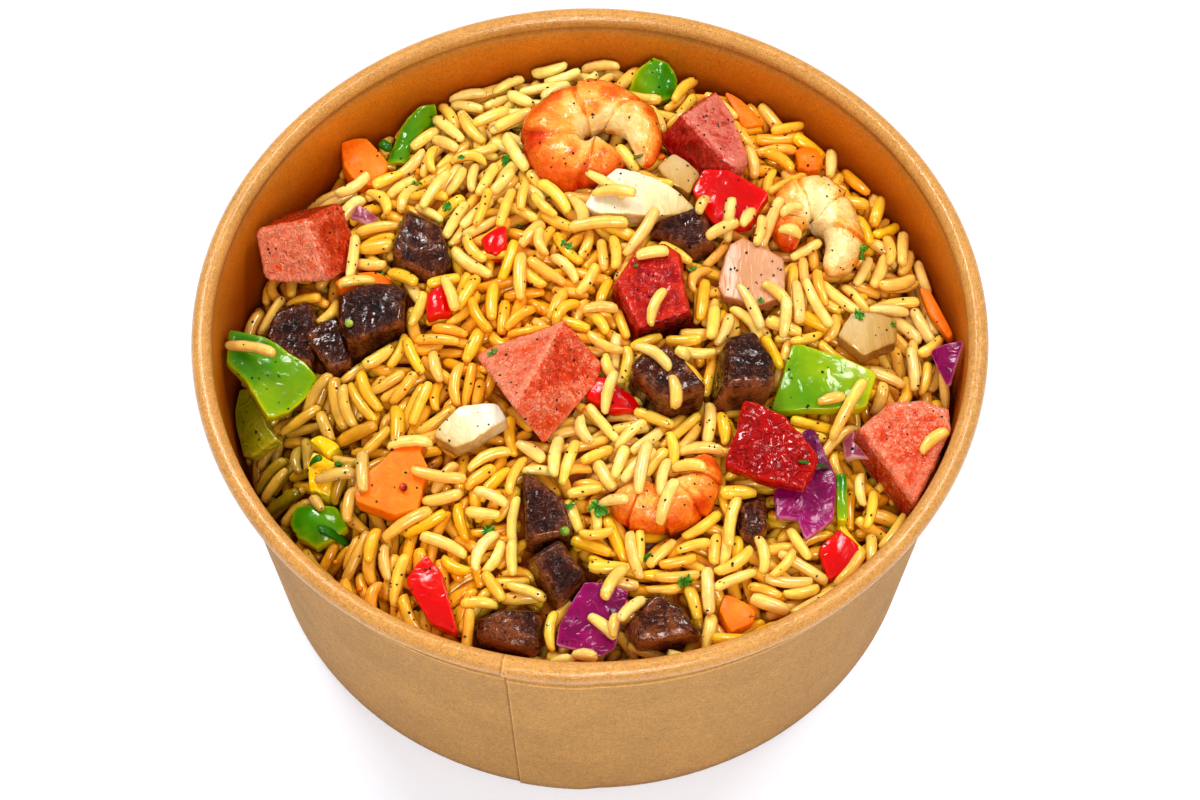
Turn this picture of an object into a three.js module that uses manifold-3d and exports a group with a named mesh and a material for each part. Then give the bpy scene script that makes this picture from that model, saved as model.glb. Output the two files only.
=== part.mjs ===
// Fried rice with prawns, sausage, beef and vegetables, in a kraft paper bowl with a rolled rim.
// Millimetres, +Z up. The origin is the middle of the bowl's foot, on the table.
import * as THREE from "three";
import { ConvexGeometry } from "three/addons/geometries/ConvexGeometry.js";
import { mergeVertices } from "three/addons/utils/BufferGeometryUtils.js";
import Module from "manifold-3d";

const manifold = await Module();
manifold.setup();

// ---- Driving dimensions ----
const CLEARANCE = 0.3;

const BOWL = {
  height: 66,
  rimRadius: 75,
  rollWidth: 4.2,
  rollHeight: 3.8,
  wallTopRadius: 72.2,
  wallFootRadius: 64.4,
  paper: 0.8,
  hemHeight: 7,
  flange: 0.6,
  segments: 40,
};

// Where the rice meets the bowl's wall, by the direction it is seen in: [degrees, height].
const RICE_LINE = [[0, 51], [30, 50.5], [60, 53], [90, 54], [115, 51.5], [135, 49], [160, 46], [180, 43],
  [195, 36], [215, 42], [235, 48], [270, 52], [315, 53], [345, 48], [360, 51]];

const HEAP = {
  crown: 61.5, // height at the middle
  fullness: 2.2, // how late the dome turns down to the wall
  relief: 0.9, // hollows and bumps between bunches of grains
  rings: 8,
  spokes: 32,
};

const FINISHES = {
  kraft: { color: 0xc9975b, roughness: 0.75 },
  rice: { color: 0xf6c84a, roughness: 0.35 },
  prawn: { color: 0xf59a4c, roughness: 0.35 },
  sausage: { color: 0xd9604a, roughness: 0.4 },
  beef: { color: 0x43241a, roughness: 0.35 },
  green_pepper: { color: 0x6fb01e, roughness: 0.25 },
  carrot: { color: 0xff8210, roughness: 0.35 },
  yellow_pepper: { color: 0xffc400, roughness: 0.3 },
  onion: { color: 0xf0e2c0, roughness: 0.3 },
  red_pepper: { color: 0xd81405, roughness: 0.25 },
  cabbage: { color: 0x98138a, roughness: 0.35 },
};

// ---- Small tools ----
const rad = THREE.MathUtils.degToRad;
const lerp = THREE.MathUtils.lerp;
const clamp = THREE.MathUtils.clamp;

// Eases between the [degrees, value] pairs of a table.
function eased(table, degrees) {
  const d = ((degrees % 360) + 360) % 360;
  const next = table.findIndex(([at], i) => i > 0 && d <= at);
  const [[a, from], [b, to]] = [table[next - 1], table[next]];
  return lerp(from, to, (1 - Math.cos((Math.PI * (d - a)) / (b - a))) / 2);
}

// A closed surface from rings of equally many points, with a point at each end. Seen from the start, every
// ring runs counterclockwise.
function skin(start, rings, end) {
  const n = rings[0].length;
  const last = rings.length - 1;
  const points = [start, ...rings.flat(), end];
  const at = (ring, i) => 1 + ring * n + (i % n);
  const faces = [];
  for (let i = 0; i < n; i++) {
    faces.push(0, at(0, i), at(0, i + 1));
    for (let ring = 0; ring < last; ring++) {
      faces.push(at(ring, i), at(ring + 1, i), at(ring + 1, i + 1));
      faces.push(at(ring, i), at(ring + 1, i + 1), at(ring, i + 1));
    }
    faces.push(points.length - 1, at(last, i + 1), at(last, i));
  }
  const geometry = new THREE.BufferGeometry().setFromPoints(points);
  geometry.setIndex(faces);
  return geometry;
}

function solidOf(geometry) {
  const bare = new THREE.BufferGeometry();
  bare.setAttribute("position", geometry.getAttribute("position"));
  bare.setIndex(geometry.getIndex());
  const merged = mergeVertices(bare, 1e-3);
  const mesh = new manifold.Mesh({
    numProp: 3,
    vertProperties: merged.attributes.position.array,
    triVerts: new Uint32Array(merged.index.array),
  });
  return new manifold.Manifold(mesh);
}

function geometryOf(solid) {
  const mesh = solid.getMesh();
  const geometry = new THREE.BufferGeometry();
  geometry.setAttribute("position", new THREE.BufferAttribute(mesh.vertProperties, 3));
  geometry.setIndex(new THREE.BufferAttribute(mesh.triVerts, 1));
  return geometry;
}

const biggestBody = (solid) => solid.decompose().reduce((a, b) => (a.volume() > b.volume() ? a : b));

// ---- The bowl ----
const wallSlope = (BOWL.wallTopRadius - BOWL.wallFootRadius) / (BOWL.height - BOWL.rollHeight);
const outerRadius = (z) => BOWL.wallFootRadius + wallSlope * z;
const innerRadius = (z) => outerRadius(z) - BOWL.paper;

// The wall's paper goes up, rolls outwards into the rim, and at the foot folds up inside as a hem that
// holds the base's flange.
function wallProfile() {
  const { height, rimRadius, rollWidth, rollHeight, paper, hemHeight, flange } = BOWL;
  const slot = flange + 2 * CLEARANCE;
  const hem = (z) => innerRadius(z) - slot;
  const points = [[outerRadius(0), 0], [outerRadius(height / 2), height / 2]];
  const first = -110;
  const last = 225;
  const steps = 7;
  for (let i = 0; i <= steps; i++) {
    const a = rad(lerp(first, last, i / steps));
    const across = (rollWidth / 2) * (Math.cos(a) - 1);
    points.push([rimRadius + across, height + (rollHeight / 2) * (Math.sin(a) - 1)]);
  }
  points.push([innerRadius(height / 2), height / 2], [innerRadius(hemHeight), hemHeight]);
  points.push([innerRadius(paper), paper], [hem(paper), paper], [hem(hemHeight), hemHeight]);
  points.push([hem(hemHeight) - paper, hemHeight], [hem(0) - paper, 0], [outerRadius(0), 0]);
  return points.map(([x, y]) => new THREE.Vector2(x, y));
}

// The base is a shallow pan turned over: a disc whose flange stands in the wall's hem.
function baseProfile() {
  const { hemHeight, flange, paper } = BOWL;
  const under = hemHeight + CLEARANCE;
  const top = under + flange;
  const foot = paper + 2 * CLEARANCE;
  const out = (z) => innerRadius(z) - CLEARANCE;
  const points = [[0, under], [out(under) - flange, under], [out(foot) - flange, foot], [out(foot), foot]];
  points.push([out(top), top], [0, top]);
  return points.map(([x, y]) => new THREE.Vector2(x, y));
}

// ---- The rice heap ----
function riceHeight(x, y) {
  const edge = eased(RICE_LINE, THREE.MathUtils.radToDeg(Math.atan2(y, x)));
  const out = clamp(Math.hypot(x, y) / innerRadius(edge), 0, 1);
  const bunches = Math.sin(x / 3.7 + 0.7) * Math.cos(y / 3.1 - 0.4) + 0.6 * Math.sin(x / 1.9 - y / 2.3);
  return lerp(edge, HEAP.crown, 1 - out ** HEAP.fullness) + HEAP.relief * bunches;
}

// A dome from wall to wall, which goes down the wall to the base.
function riceHeap() {
  const { rings, spokes } = HEAP;
  const floor = BOWL.hemHeight + BOWL.flange + 2 * CLEARANCE;
  const circle = (place) =>
    Array.from({ length: spokes }, (_, i) => {
      const a = (i / spokes) * 2 * Math.PI;
      return place(Math.cos(a), Math.sin(a), THREE.MathUtils.radToDeg(a));
    });
  const dome = Array.from({ length: rings }, (_, k) =>
    circle((c, s, degrees) => {
      const edge = eased(RICE_LINE, degrees);
      const r = (innerRadius(edge - HEAP.relief * 2) - CLEARANCE) * ((k + 1) / rings);
      return new THREE.Vector3(r * c, r * s, riceHeight(r * c, r * s));
    }),
  );
  const low = circle((c, s) => {
    const r = innerRadius(floor) - CLEARANCE * 1.5;
    return new THREE.Vector3(r * c, r * s, floor);
  });
  return skin(new THREE.Vector3(0, 0, riceHeight(0, 0)), [...dome, low], new THREE.Vector3(0, 0, floor));
}

// ---- Cut pieces ----
// Each corner of an outline becomes two points, so that it is a little blunt.
function softened(outline) {
  const blunt = 0.08;
  return outline.flatMap((p, i) => {
    const before = outline.at(i - 1);
    const after = outline[(i + 1) % outline.length];
    return [before, after].map((q) => [lerp(p[0], q[0], blunt), lerp(p[1], q[1], blunt)]);
  });
}

const meanReach = (outline) => outline.reduce((sum, [x, y]) => sum + Math.hypot(x, y), 0) / outline.length;

// How far a slab's faces stand above a flat one: crowned in the middle, and bent down along one direction.
function lift({ outline, crown = 0, sag = 0, along = 0 }, x, y) {
  const reach = meanReach(outline);
  const across = (x * Math.cos(rad(along)) + y * Math.sin(rad(along))) / reach;
  return crown * (1 - (x * x + y * y) / (reach * reach)) - sag * across * across;
}

// A piece cut from a slice: its outline is the shown face, which lies at z = 0 and points up.
function slab(piece) {
  const { outline, thickness, taper = 1, crown = 0, sag = 0 } = piece;
  const rim = outline.length > 6 ? outline : softened(outline);
  const edge = Math.min(0.8, thickness / 3);
  const inset = 1 - edge / meanReach(outline);
  const levels = [[inset, 0], [1, -edge], [thickness < 2 ? inset : taper, -thickness]];
  if (crown > 0 || sag > 0) levels.unshift([0.55, 0]);
  const rings = levels.map(([scale, z]) =>
    rim.map(([x, y]) => new THREE.Vector3(x * scale, y * scale, z + lift(piece, x * scale, y * scale))),
  );
  const middle = lift(piece, 0, 0);
  return skin(new THREE.Vector3(0, 0, middle), rings, new THREE.Vector3(0, 0, middle - thickness));
}

// The room that a slab needs: a plain hull round it.
function slabRoom(piece) {
  const { outline, thickness, taper = 1, crown = 0 } = piece;
  const grow = CLEARANCE * 1.5;
  const points = outline.flatMap(([x, y]) => {
    const out = 1 + grow / Math.hypot(x, y);
    const bend = lift(piece, x, y);
    const low = new THREE.Vector3(x * out * taper, y * out * taper, bend - thickness - grow);
    return [new THREE.Vector3(x * out, y * out, bend + grow), low];
  });
  return new ConvexGeometry([...points, new THREE.Vector3(0, 0, crown * 1.3 + grow)]);
}

// A chunk cut with slanting faces: the hull of its corners, each one blunt.
function chunk({ corners }, blunt = 0.5) {
  const steps = [[1, 0, 0], [0, 1, 0], [0, 0, 1]].flatMap((step) => [step, step.map((v) => -v)]);
  const moved = (corner, step) => new THREE.Vector3(...corner.map((v, i) => v + blunt * step[i]));
  return new ConvexGeometry(corners.flatMap((corner) => steps.map((step) => moved(corner, step))));
}

// ---- Prawns ----
// A peeled prawn curls round: its middle line runs along an oval, from `coil` nearer the middle at the cut
// end to `uncurl` further out at the tail. Its girth goes from the cut end's to the thickest and down to the
// tail's, with a fold between each two segments.
function prawn({ oval, sweep, start, coil = 0, uncurl = 0, girth }, grow = 0, rings = 12, sides = 8) {
  const segments = 5;
  const line = (t) => {
    const a = rad(start + sweep * t);
    const reach = 1 / Math.hypot(Math.cos(a) / oval[0], Math.sin(a) / oval[1]);
    const r = reach - coil * Math.max(0, 1 - (t / 0.25) ** 2) + uncurl * t ** 10;
    return new THREE.Vector3(r * Math.cos(a), r * Math.sin(a), 0);
  };
  const size = (t) => {
    const fold = 1 - 0.07 * Math.cos(2 * Math.PI * segments * t) ** 8;
    const [cut, thick, tail] = girth;
    const filling = Math.sin((Math.min(t, 0.3) / 0.3) * (Math.PI / 2));
    const thinning = (Math.max(t - 0.3, 0) / 0.7) ** 2.5;
    const body = lerp(lerp(cut, thick, filling), tail, thinning);
    return body * fold * Math.sqrt(1 - (2 * t - 1) ** 14) + grow;
  };
  const ring = (t) => {
    const middle = line(t);
    const out = middle.clone().normalize();
    return Array.from({ length: sides }, (_, i) => {
      const b = (2 * Math.PI * i) / sides;
      const up = Math.sign(sweep) * Math.sin(b) * size(t);
      return middle.clone().addScaledVector(out, Math.cos(b) * size(t)).setZ(up);
    });
  };
  const stops = Array.from({ length: rings }, (_, k) => lerp(0.01, 0.99, k / (rings - 1)));
  return skin(line(0), stops.map(ring), line(1));
}

// ---- Where everything lies ----
// `at` is the middle of the shown face. The piece leans by `lean` degrees towards the compass direction
// `toward`, where 0 is +X and 90 is +Y. Pieces are listed from the lowest to the one on top.
const LEAVES = { finish: "green_pepper", thickness: 2.6 };
const PIECES = [
  // Small bits that show between the grains.
  { name: "red_pepper_1", finish: "red_pepper", at: [-29, 8.5, 60], toward: 270, lean: 10, thickness: 3,
    outline: [[3, -2], [1, 4], [-2, 2], [-2, -3]] },
  { name: "red_pepper_2", finish: "red_pepper", at: [-18, 22, 60.5], toward: 270, lean: 10, thickness: 3,
    outline: [[-2, -2], [0, -3], [2, -2], [2, 4], [-3, 1]] },
  { name: "red_pepper_3", finish: "red_pepper", at: [4, -13, 61.5], toward: 270, lean: 10, thickness: 3,
    outline: [[0, -3], [6, -3], [4, 0], [-2, 4], [-5, 0]] },
  { name: "red_pepper_4", finish: "red_pepper", at: [-29, -51.5, 54.5], toward: 230, lean: 15, thickness: 3,
    outline: [[0, -6], [5, -8], [2, 4], [-1, 8], [-5, 3]] },
  { name: "red_pepper_5", finish: "red_pepper", at: [46, -43.5, 55], toward: 300, lean: 15, thickness: 3,
    outline: [[-2, -5], [3, -2], [4, 2], [0, 5], [-4, 1]] },
  { name: "carrot_1", finish: "carrot", at: [-44, 16, 56.5], toward: 90, lean: 10, thickness: 3,
    outline: [[-3, -3], [7, 0], [3, 2.5], [-3, 1.5], [-5, 0]] },
  { name: "carrot_2", finish: "carrot", at: [26.5, -56, 55.5], toward: 270, lean: 10, thickness: 4,
    outline: [[-1, -4], [3, -2], [4, 1], [-2, 4], [-3, 1]] },
  { name: "carrot_3", finish: "carrot", at: [42.5, 44.5, 56], toward: 270, lean: 5, thickness: 4,
    crown: 0.8,
    outline: [[-2, -2], [0, -3], [2.5, -3], [3, 0], [2, 2.5], [-1, 3], [-2.5, 2.5]] },
  { name: "carrot_4", finish: "carrot", at: [66, 10, 54.5], toward: 200, lean: 10, thickness: 2.5,
    outline: [[-1.5, 0], [2, -6], [3, -5], [-1, 5], [-3, 6]] },
  { name: "carrot_5", finish: "carrot", at: [30.5, 57, 54.5], toward: 270, lean: 10, thickness: 3,
    outline: [[-1, -2.5], [0, -3.5], [4, -2.5], [1, 1], [-1, 3], [-4, 5]] },
  { name: "cabbage_1", finish: "cabbage", at: [-44, 32, 55], toward: 270, lean: 10, thickness: 1.5,
    outline: [[1.5, -2.5], [3, 0], [-1.5, 2.5], [-3, 0]] },
  { name: "cabbage_2", finish: "cabbage", at: [49, -22, 58], toward: 180, lean: 20, thickness: 1.5,
    outline: [[-2, -2.5], [3, -2.5], [0.5, 3.5], [-2.5, 2]] },
  { name: "yellow_pepper_1", finish: "yellow_pepper", at: [-50, -17, 50.5], toward: 270, lean: 10,
    thickness: 3,
    outline: [[1, -2.5], [3, 0], [-1, 2], [-3, 1]] },
  { name: "yellow_pepper_2", finish: "yellow_pepper", at: [-50, -23.5, 50], toward: 270, lean: 10,
    thickness: 4,
    outline: [[-3, 2], [-2.5, -3], [1.5, -4.5], [3, -2], [4, 1.5], [1.5, 3], [-2, 4.5]] },
  { name: "beef_1", finish: "beef", at: [30, -37.5, 58], toward: 270, lean: 5, thickness: 6, crown: 1,
    outline: [[-2.5, -3], [0, -5], [2.5, -2], [2.5, 5], [-3, 3]] },
  { name: "green_pepper_1", ...LEAVES, at: [-65, -8.5, 43], toward: 200, lean: 35,
    outline: [[-4, 2], [-2, -6], [0, -6.5], [6, -4], [4, -1.5], [0.5, 7.5], [-2.5, 8]] },
  { name: "green_pepper_2", ...LEAVES, at: [-51, -33, 47.5], toward: 240, lean: 20, crown: 1,
    outline: [[-4, -2.5], [0, -5], [3, -3.5], [6, -0.5], [3.5, 3.5], [-4, 4], [-6, 1]] },
  { name: "green_pepper_3", ...LEAVES, at: [-35, 52.5, 53], toward: 310, lean: 30,
    outline: [[-0.5, -6.5], [0, -3], [2.5, 1.5], [5.5, 3.5], [4.5, 7], [1, 5.5], [-2, 1.5], [-4.5, -6]] },
  { name: "green_pepper_4", ...LEAVES, at: [12.5, 62.5, 56], toward: 270, lean: 30, crown: 1.2,
    outline: [[0.5, -4.5], [5, -3], [5, 1], [3, 4], [0, 5], [-3, 3], [-6, -1.5]] },
  { name: "green_pepper_5", ...LEAVES, at: [46.5, -32.5, 57.5], toward: 270, lean: 10,
    outline: [[-1, -5], [1, -5], [1, 4.5], [-1, 4.5]] },
  // Beef, onion and pepper, half sunk in the rice.
  { name: "beef_2", finish: "beef", at: [18.5, 24.5, 62], toward: 270, lean: 5, thickness: 7,
    outline: [[-7, -1], [-3, -2], [1, -5], [5, -3], [4.5, 0], [3, 5], [-1, 3.5], [-6, 1.5]] },
  { name: "beef_3", finish: "beef", at: [-49.5, 3.5, 53.5], toward: 240, lean: 10, thickness: 8,
    outline: [[-3, 4], [-5, 2], [0, -5.5], [4, -4], [3, 0.5], [1, 6]] },
  { name: "beef_4", finish: "beef", at: [-56.5, 7.5, 51.5], toward: 270, lean: 10, thickness: 9,
    outline: [[-6, -1.5], [1.5, -7], [3.5, -7], [5, 2], [2.5, 6.5], [-3.5, 5]] },
  { name: "beef_5", finish: "beef", at: [-32.5, 22, 60], toward: 270, lean: 5, thickness: 9, crown: 0.8,
    outline: [[-5.5, -1], [-3.5, -4], [3, -7.5], [6, -3.5], [3.5, 4], [-3, 8]] },
  { name: "beef_6", finish: "beef", at: [-41.5, 7, 59.5], toward: 270, lean: 5, thickness: 9,
    outline: [[-6, -1.5], [-4.5, -5.5], [-2, -6], [6, -2], [6.5, 4.5], [5, 6], [-1, 6], [-6, 3.5]] },
  { name: "beef_7", finish: "beef", at: [-8.5, -37, 60.5], toward: 270, lean: 10, thickness: 8,
    outline: [[-3.5, 0], [-2.5, -6], [5.5, -4.5], [3.5, 2], [-2, 7], [-4, 7.5]] },
  { name: "beef_8", finish: "beef", at: [-14, -59.5, 56], toward: 270, lean: 15, thickness: 9, crown: 1,
    outline: [[-6.5, -1.5], [0, -3.5], [5, -4], [5, 3.5], [-2, 3.5], [-6.5, 2]] },
  { name: "onion_1", finish: "onion", at: [17, 39.5, 59.5], toward: 90, lean: 10, thickness: 3, sag: 0.5,
    outline: [[-1.5, -3.5], [2, -6], [4.5, 0], [-1, 5], [-4.5, 2]] },
  { name: "onion_2", finish: "onion", at: [31, 13.5, 62], toward: 270, lean: 5, thickness: 2.5, sag: 0.8,
    outline: [[-7, -2], [-6, -4.5], [0.5, -7], [6.5, -5], [6, 4], [-2, 8], [-4.5, 7]] },
  { name: "onion_3", finish: "onion", at: [52.5, 3.5, 58.5], toward: 90, lean: 8, thickness: 3, sag: 0.8,
    outline: [[-6, -0.5], [-1, -6.5], [5.5, -2], [6, 3.5], [-3, 5]] },
  { name: "onion_4", finish: "onion", at: [-22.5, -20, 62.5], toward: 250, lean: 15, thickness: 4, sag: 0.8,
    along: 60, outline: [[-3.5, -5], [1, -3.5], [7, 1.5], [5, 4.5], [-1.5, 3.5], [-7, -1]] },
  { name: "red_pepper_6", finish: "red_pepper", at: [26.5, 31.5, 61.5], toward: 240, lean: 10,
    thickness: 2.6,
    outline: [[-7, 2], [-3, -6], [4, -6], [8, 1], [0, 6], [-5, 6.5]] },
  { name: "carrot_6", finish: "carrot", at: [-44.5, 45, 54], toward: 270, lean: 10, thickness: 4,
    crown: 0.6,
    outline: [[-4, -0.5], [-1.5, -5], [2.5, -5.5], [4.5, -2], [5, 0], [0.5, 5.5], [-4.5, 5]] },
  { name: "carrot_7", finish: "carrot", at: [-36, -29, 57], toward: 270, lean: 10, thickness: 4,
    outline: [[-7.5, -4], [0, -7], [4.5, -5.5], [6, 3], [4.5, 6], [6, 8.5], [1, 8], [-2.5, 4], [-7.5, 0]] },
  { name: "cabbage_3", finish: "cabbage", at: [67, -2, 57], toward: 200, lean: 30, thickness: 1.2, sag: 0.5,
    outline: [[0, -6.5], [4, 3], [-3.5, 2.5]] },
  { name: "cabbage_4", finish: "cabbage", at: [39.5, -32.5, 59], toward: 280, lean: 8, thickness: 1.5,
    sag: 0.6,
    outline: [[-6, 0.5], [-4, -13], [5.5, -5.5], [6, 3], [2.5, 13], [0, 12.5]] },
  { name: "green_pepper_6", ...LEAVES, at: [-61, -2.2, 51.5], toward: 300, lean: 20, sag: 0.8, along: 130,
    outline: [[-8, 2], [-4.5, -1.5], [-1, -7], [2, -12], [6, -6], [10, 0], [6.5, 3], [-1.5, 7.5],
      [-8, 9]] },
  { name: "green_pepper_7", ...LEAVES, at: [44, -10, 61.5], toward: 290, lean: 8, sag: 0.8, along: 20,
    outline: [[-8, 1.5], [-10.5, -6], [7.5, -5.5], [11, 3], [-6, 8]] },
  // Pieces that lie on top.
  { name: "prawn_back", finish: "prawn", at: [1, 47, 59], toward: 270, lean: 6, shape: prawn,
    oval: [8.4, 7], coil: 2.6, uncurl: 3, start: 322, sweep: -356, girth: [3.8, 5.2, 2.2] },
  { name: "prawn_right", finish: "prawn", at: [42.5, 26.5, 58.5], toward: 270, lean: 5, shape: prawn,
    oval: [4.4, 6.2], coil: -3, start: -77, sweep: 313, girth: [3, 4.4, 1.8] },
  { name: "prawn_front", finish: "prawn", at: [12.5, -27, 58.5], toward: 270, lean: 5, shape: prawn,
    oval: [8.5, 8.5], start: 215, sweep: 160, girth: [4, 4.6, 2.6] },
  { name: "onion_5", finish: "onion", at: [9, 31.5, 63], toward: 90, lean: 5, thickness: 3.5, sag: 0.9,
    outline: [[-7, -4], [3.5, -5.5], [8, -4], [12.5, -2], [6.5, 3], [-4, 7], [-9, 2], [-11, -1]] },
  { name: "red_sausage", finish: "red_pepper", at: [12, 9.5, 64.5], toward: 270, lean: 5, thickness: 9,
    outline: [[-3.5, -9], [1.5, -8], [7, -6], [5, 7], [2, 9.5], [-3.5, 7.5], [-7.5, 0.5]] },
  { name: "sausage_back", finish: "sausage", at: [25, 47.5, 62.5], toward: 20, lean: 25, thickness: 9,
    taper: 1.1,
    outline: [[-3.5, -3.5], [0.5, -8], [3.5, -9], [6, -7], [6, -4.5], [3.5, 4], [1.5, 8], [0, 10.5],
      [-8, 1]] },
  { name: "sausage_left", finish: "sausage", at: [-57.5, 20.5, 58.5], toward: 237, lean: 56, thickness: 12,
    outline: [[-7.5, -5], [7.5, -6.5], [6, 6.5], [-7, 5.5]] },
  { name: "sausage_right", finish: "sausage", at: [59, -23.5, 62.3], toward: 290, lean: 17, thickness: 11,
    outline: [[-4, -5.5], [1, -12.5], [8, 2.5], [7.5, 6.5], [2.5, 8], [-3.5, 7.5], [-9.5, 2]] },
  { name: "beef_9", finish: "beef", at: [-5.5, -49.5, 60.5], toward: 278, lean: 20, thickness: 9,
    taper: 1.25,
    outline: [[-5, 2], [-2, -3], [0.5, -6], [5, -1], [0, 5.5]] },
  { name: "beef_10", finish: "beef", at: [12.5, -59.5, 58.5], toward: 260, lean: 15, thickness: 9, crown: 1,
    outline: [[-4, -4.5], [7.5, -2], [4, 3], [0, 6], [-6.5, -0.5]] },
  { name: "beef_11", finish: "beef", at: [14.5, -12, 67.5], toward: 300, lean: 7, thickness: 10, crown: 0.6,
    outline: [[-7, 1.5], [-1, -6], [7.5, -2.5], [0, 6.5], [-5, 4]] },
  { name: "beef_12", finish: "beef", at: [29.5, -8, 65.3], toward: 20, lean: 15, thickness: 10, crown: 0.6,
    outline: [[-4, 5], [-5, -6.5], [5, -4.5], [5, 1], [1.5, 8]] },
  { name: "cabbage_5", finish: "cabbage", at: [0.5, -58.5, 58], toward: 260, lean: 15, thickness: 1.5,
    sag: 0.8,
    outline: [[-6, -0.5], [-7, -4.5], [1.5, -7], [4, -5.5], [6.5, 5.5], [2, 7], [-1.5, 7]] },
  { name: "sausage_middle", finish: "sausage", shape: chunk, at: [0, 0, 0],
    corners: [[-5, -1, 67.5], [-13.5, -20, 68.5], [-20.5, -4, 61.5], [2, -6, 61], [-1.5, -13, 61],
      [-8.5, -22, 60], [-17, -6, 55], [-4, -3, 55], [-9, -17, 55]] },
  { name: "roast_pepper", finish: "red_pepper", at: [33, -26, 64], toward: 250, lean: 15,
    thickness: 3.5, sag: 1.2,
    along: 150, outline: [[-6, 6], [-9, -3], [-0.5, -6.5], [7, -8.5], [9, -1.5], [3, 6], [-5, 10.5]] },
];

// ---- Putting it together ----
function placement({ at, lean = 0, toward = 0 }) {
  const hinge = new THREE.Vector3(-Math.sin(rad(toward)), Math.cos(rad(toward)), 0);
  const tilt = new THREE.Quaternion().setFromAxisAngle(hinge, rad(lean));
  return new THREE.Matrix4().compose(new THREE.Vector3(...at), tilt, new THREE.Vector3(1, 1, 1));
}

const bodyOf = (piece) => (piece.shape ?? slab)(piece);

function roomOf(piece) {
  if (piece.shape === prawn) return prawn(piece, CLEARANCE * 3, 12, 7);
  if (piece.shape === chunk) return chunk(piece, 0.5 + CLEARANCE);
  return slabRoom(piece);
}

const part = new THREE.Group();

function add(name, finish, geometry, at = new THREE.Matrix4()) {
  const material = new THREE.MeshStandardMaterial({ ...FINISHES[finish], metalness: 0 });
  const mesh = new THREE.Mesh(geometry, material);
  mesh.name = name;
  mesh.applyMatrix4(at);
  part.add(mesh);
}

const lathe = (profile) => new THREE.LatheGeometry(profile, BOWL.segments).rotateX(Math.PI / 2);
add("bowl_wall", "kraft", geometryOf(solidOf(lathe(wallProfile()))));
add("bowl_base", "kraft", geometryOf(solidOf(lathe(baseProfile()))));

// The bowl's inside, which no piece may leave.
const throat = BOWL.rimRadius - BOWL.rollWidth - 1.5 * CLEARANCE;
const neck = BOWL.height - BOWL.rollHeight;
const insideProfile = [[0, BOWL.hemHeight + 2], [innerRadius(BOWL.hemHeight), BOWL.hemHeight + 2],
  [innerRadius(neck - 4) - 1.5 * CLEARANCE, neck - 4], [throat, neck], [throat, BOWL.height * 2],
  [0, BOWL.height * 2]];
const inside = solidOf(lathe(insideProfile.map(([x, y]) => new THREE.Vector2(x, y))));

// A piece gives way to those that lie on it, and the rice to all of them.
const rooms = PIECES.map((piece) => solidOf(roomOf(piece).applyMatrix4(placement(piece))));
PIECES.forEach((piece, i) => {
  const at = placement(piece);
  const whole = solidOf(bodyOf(piece).applyMatrix4(at)).intersect(inside);
  const left = rooms.slice(i + 1).reduce((solid, room) => solid.subtract(room), whole);
  const geometry = geometryOf(biggestBody(left)).applyMatrix4(at.clone().invert());
  add(piece.name, piece.finish, geometry, at);
});
const rice = rooms.reduce((solid, room) => solid.subtract(room), solidOf(riceHeap()));
add("rice_heap", "rice", geometryOf(biggestBody(rice)));

export default part;
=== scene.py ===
"""Fried rice with prawns, sausage, beef and vegetables, in a kraft paper bowl with a rolled rim.

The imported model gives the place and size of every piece. Each piece is made again here as a fine surface
with its own finish, and the rice heap becomes loose grains that settle on a smaller core. Lengths are
millimetres until a mesh is made. Heights are +Z, and the bowl stands on z = 0 round the origin.
"""

import logging
import math
from collections.abc import Callable
from dataclasses import dataclass, field

import bmesh
import bpy
import numpy as np
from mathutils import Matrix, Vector
from mathutils.bvhtree import BVHTree


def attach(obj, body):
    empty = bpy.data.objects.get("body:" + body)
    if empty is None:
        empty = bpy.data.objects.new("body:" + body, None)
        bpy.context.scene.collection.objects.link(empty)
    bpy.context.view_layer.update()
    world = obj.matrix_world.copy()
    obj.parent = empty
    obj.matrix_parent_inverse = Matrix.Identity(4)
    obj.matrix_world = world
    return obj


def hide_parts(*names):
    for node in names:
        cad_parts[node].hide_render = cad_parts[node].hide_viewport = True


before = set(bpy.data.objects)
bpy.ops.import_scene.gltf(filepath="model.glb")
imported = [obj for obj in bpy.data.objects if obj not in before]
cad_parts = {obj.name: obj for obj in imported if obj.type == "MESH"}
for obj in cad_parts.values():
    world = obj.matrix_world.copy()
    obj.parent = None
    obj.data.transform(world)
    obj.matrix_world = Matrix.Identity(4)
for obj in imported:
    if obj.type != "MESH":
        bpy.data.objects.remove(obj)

MM = 0.001
TURN = 2 * math.pi
MOIST_IOR = 1.4  # water and fat
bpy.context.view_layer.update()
log = logging.getLogger("fried_rice")
Array = np.ndarray


# ---- Numbers to shapes ----
def linear(code: str) -> tuple[float, float, float, float]:
    """The linear colour of an sRGB hex code.

    Args:
        code: six hex digits.

    Returns:
        Red, green, blue and an alpha of one.
    """
    parts = [int(code[i : i + 2], 16) / 255 for i in (0, 2, 4)]
    return (*[c / 12.92 if c <= 0.04045 else ((c + 0.055) / 1.055) ** 2.4 for c in parts], 1.0)


def unit(vectors: Array) -> Array:
    """The vectors along the last axis, each scaled to length one."""
    return vectors / np.maximum(np.linalg.norm(vectors, axis=-1, keepdims=True), 1e-9)


def smooth(low: float, high: float, value: Array) -> Array:
    """Zero below low, one above high, and 3t^2 - 2t^3 between them."""
    t = np.clip((value - low) / (high - low), 0, 1)
    return t * t * (3 - 2 * t)


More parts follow.
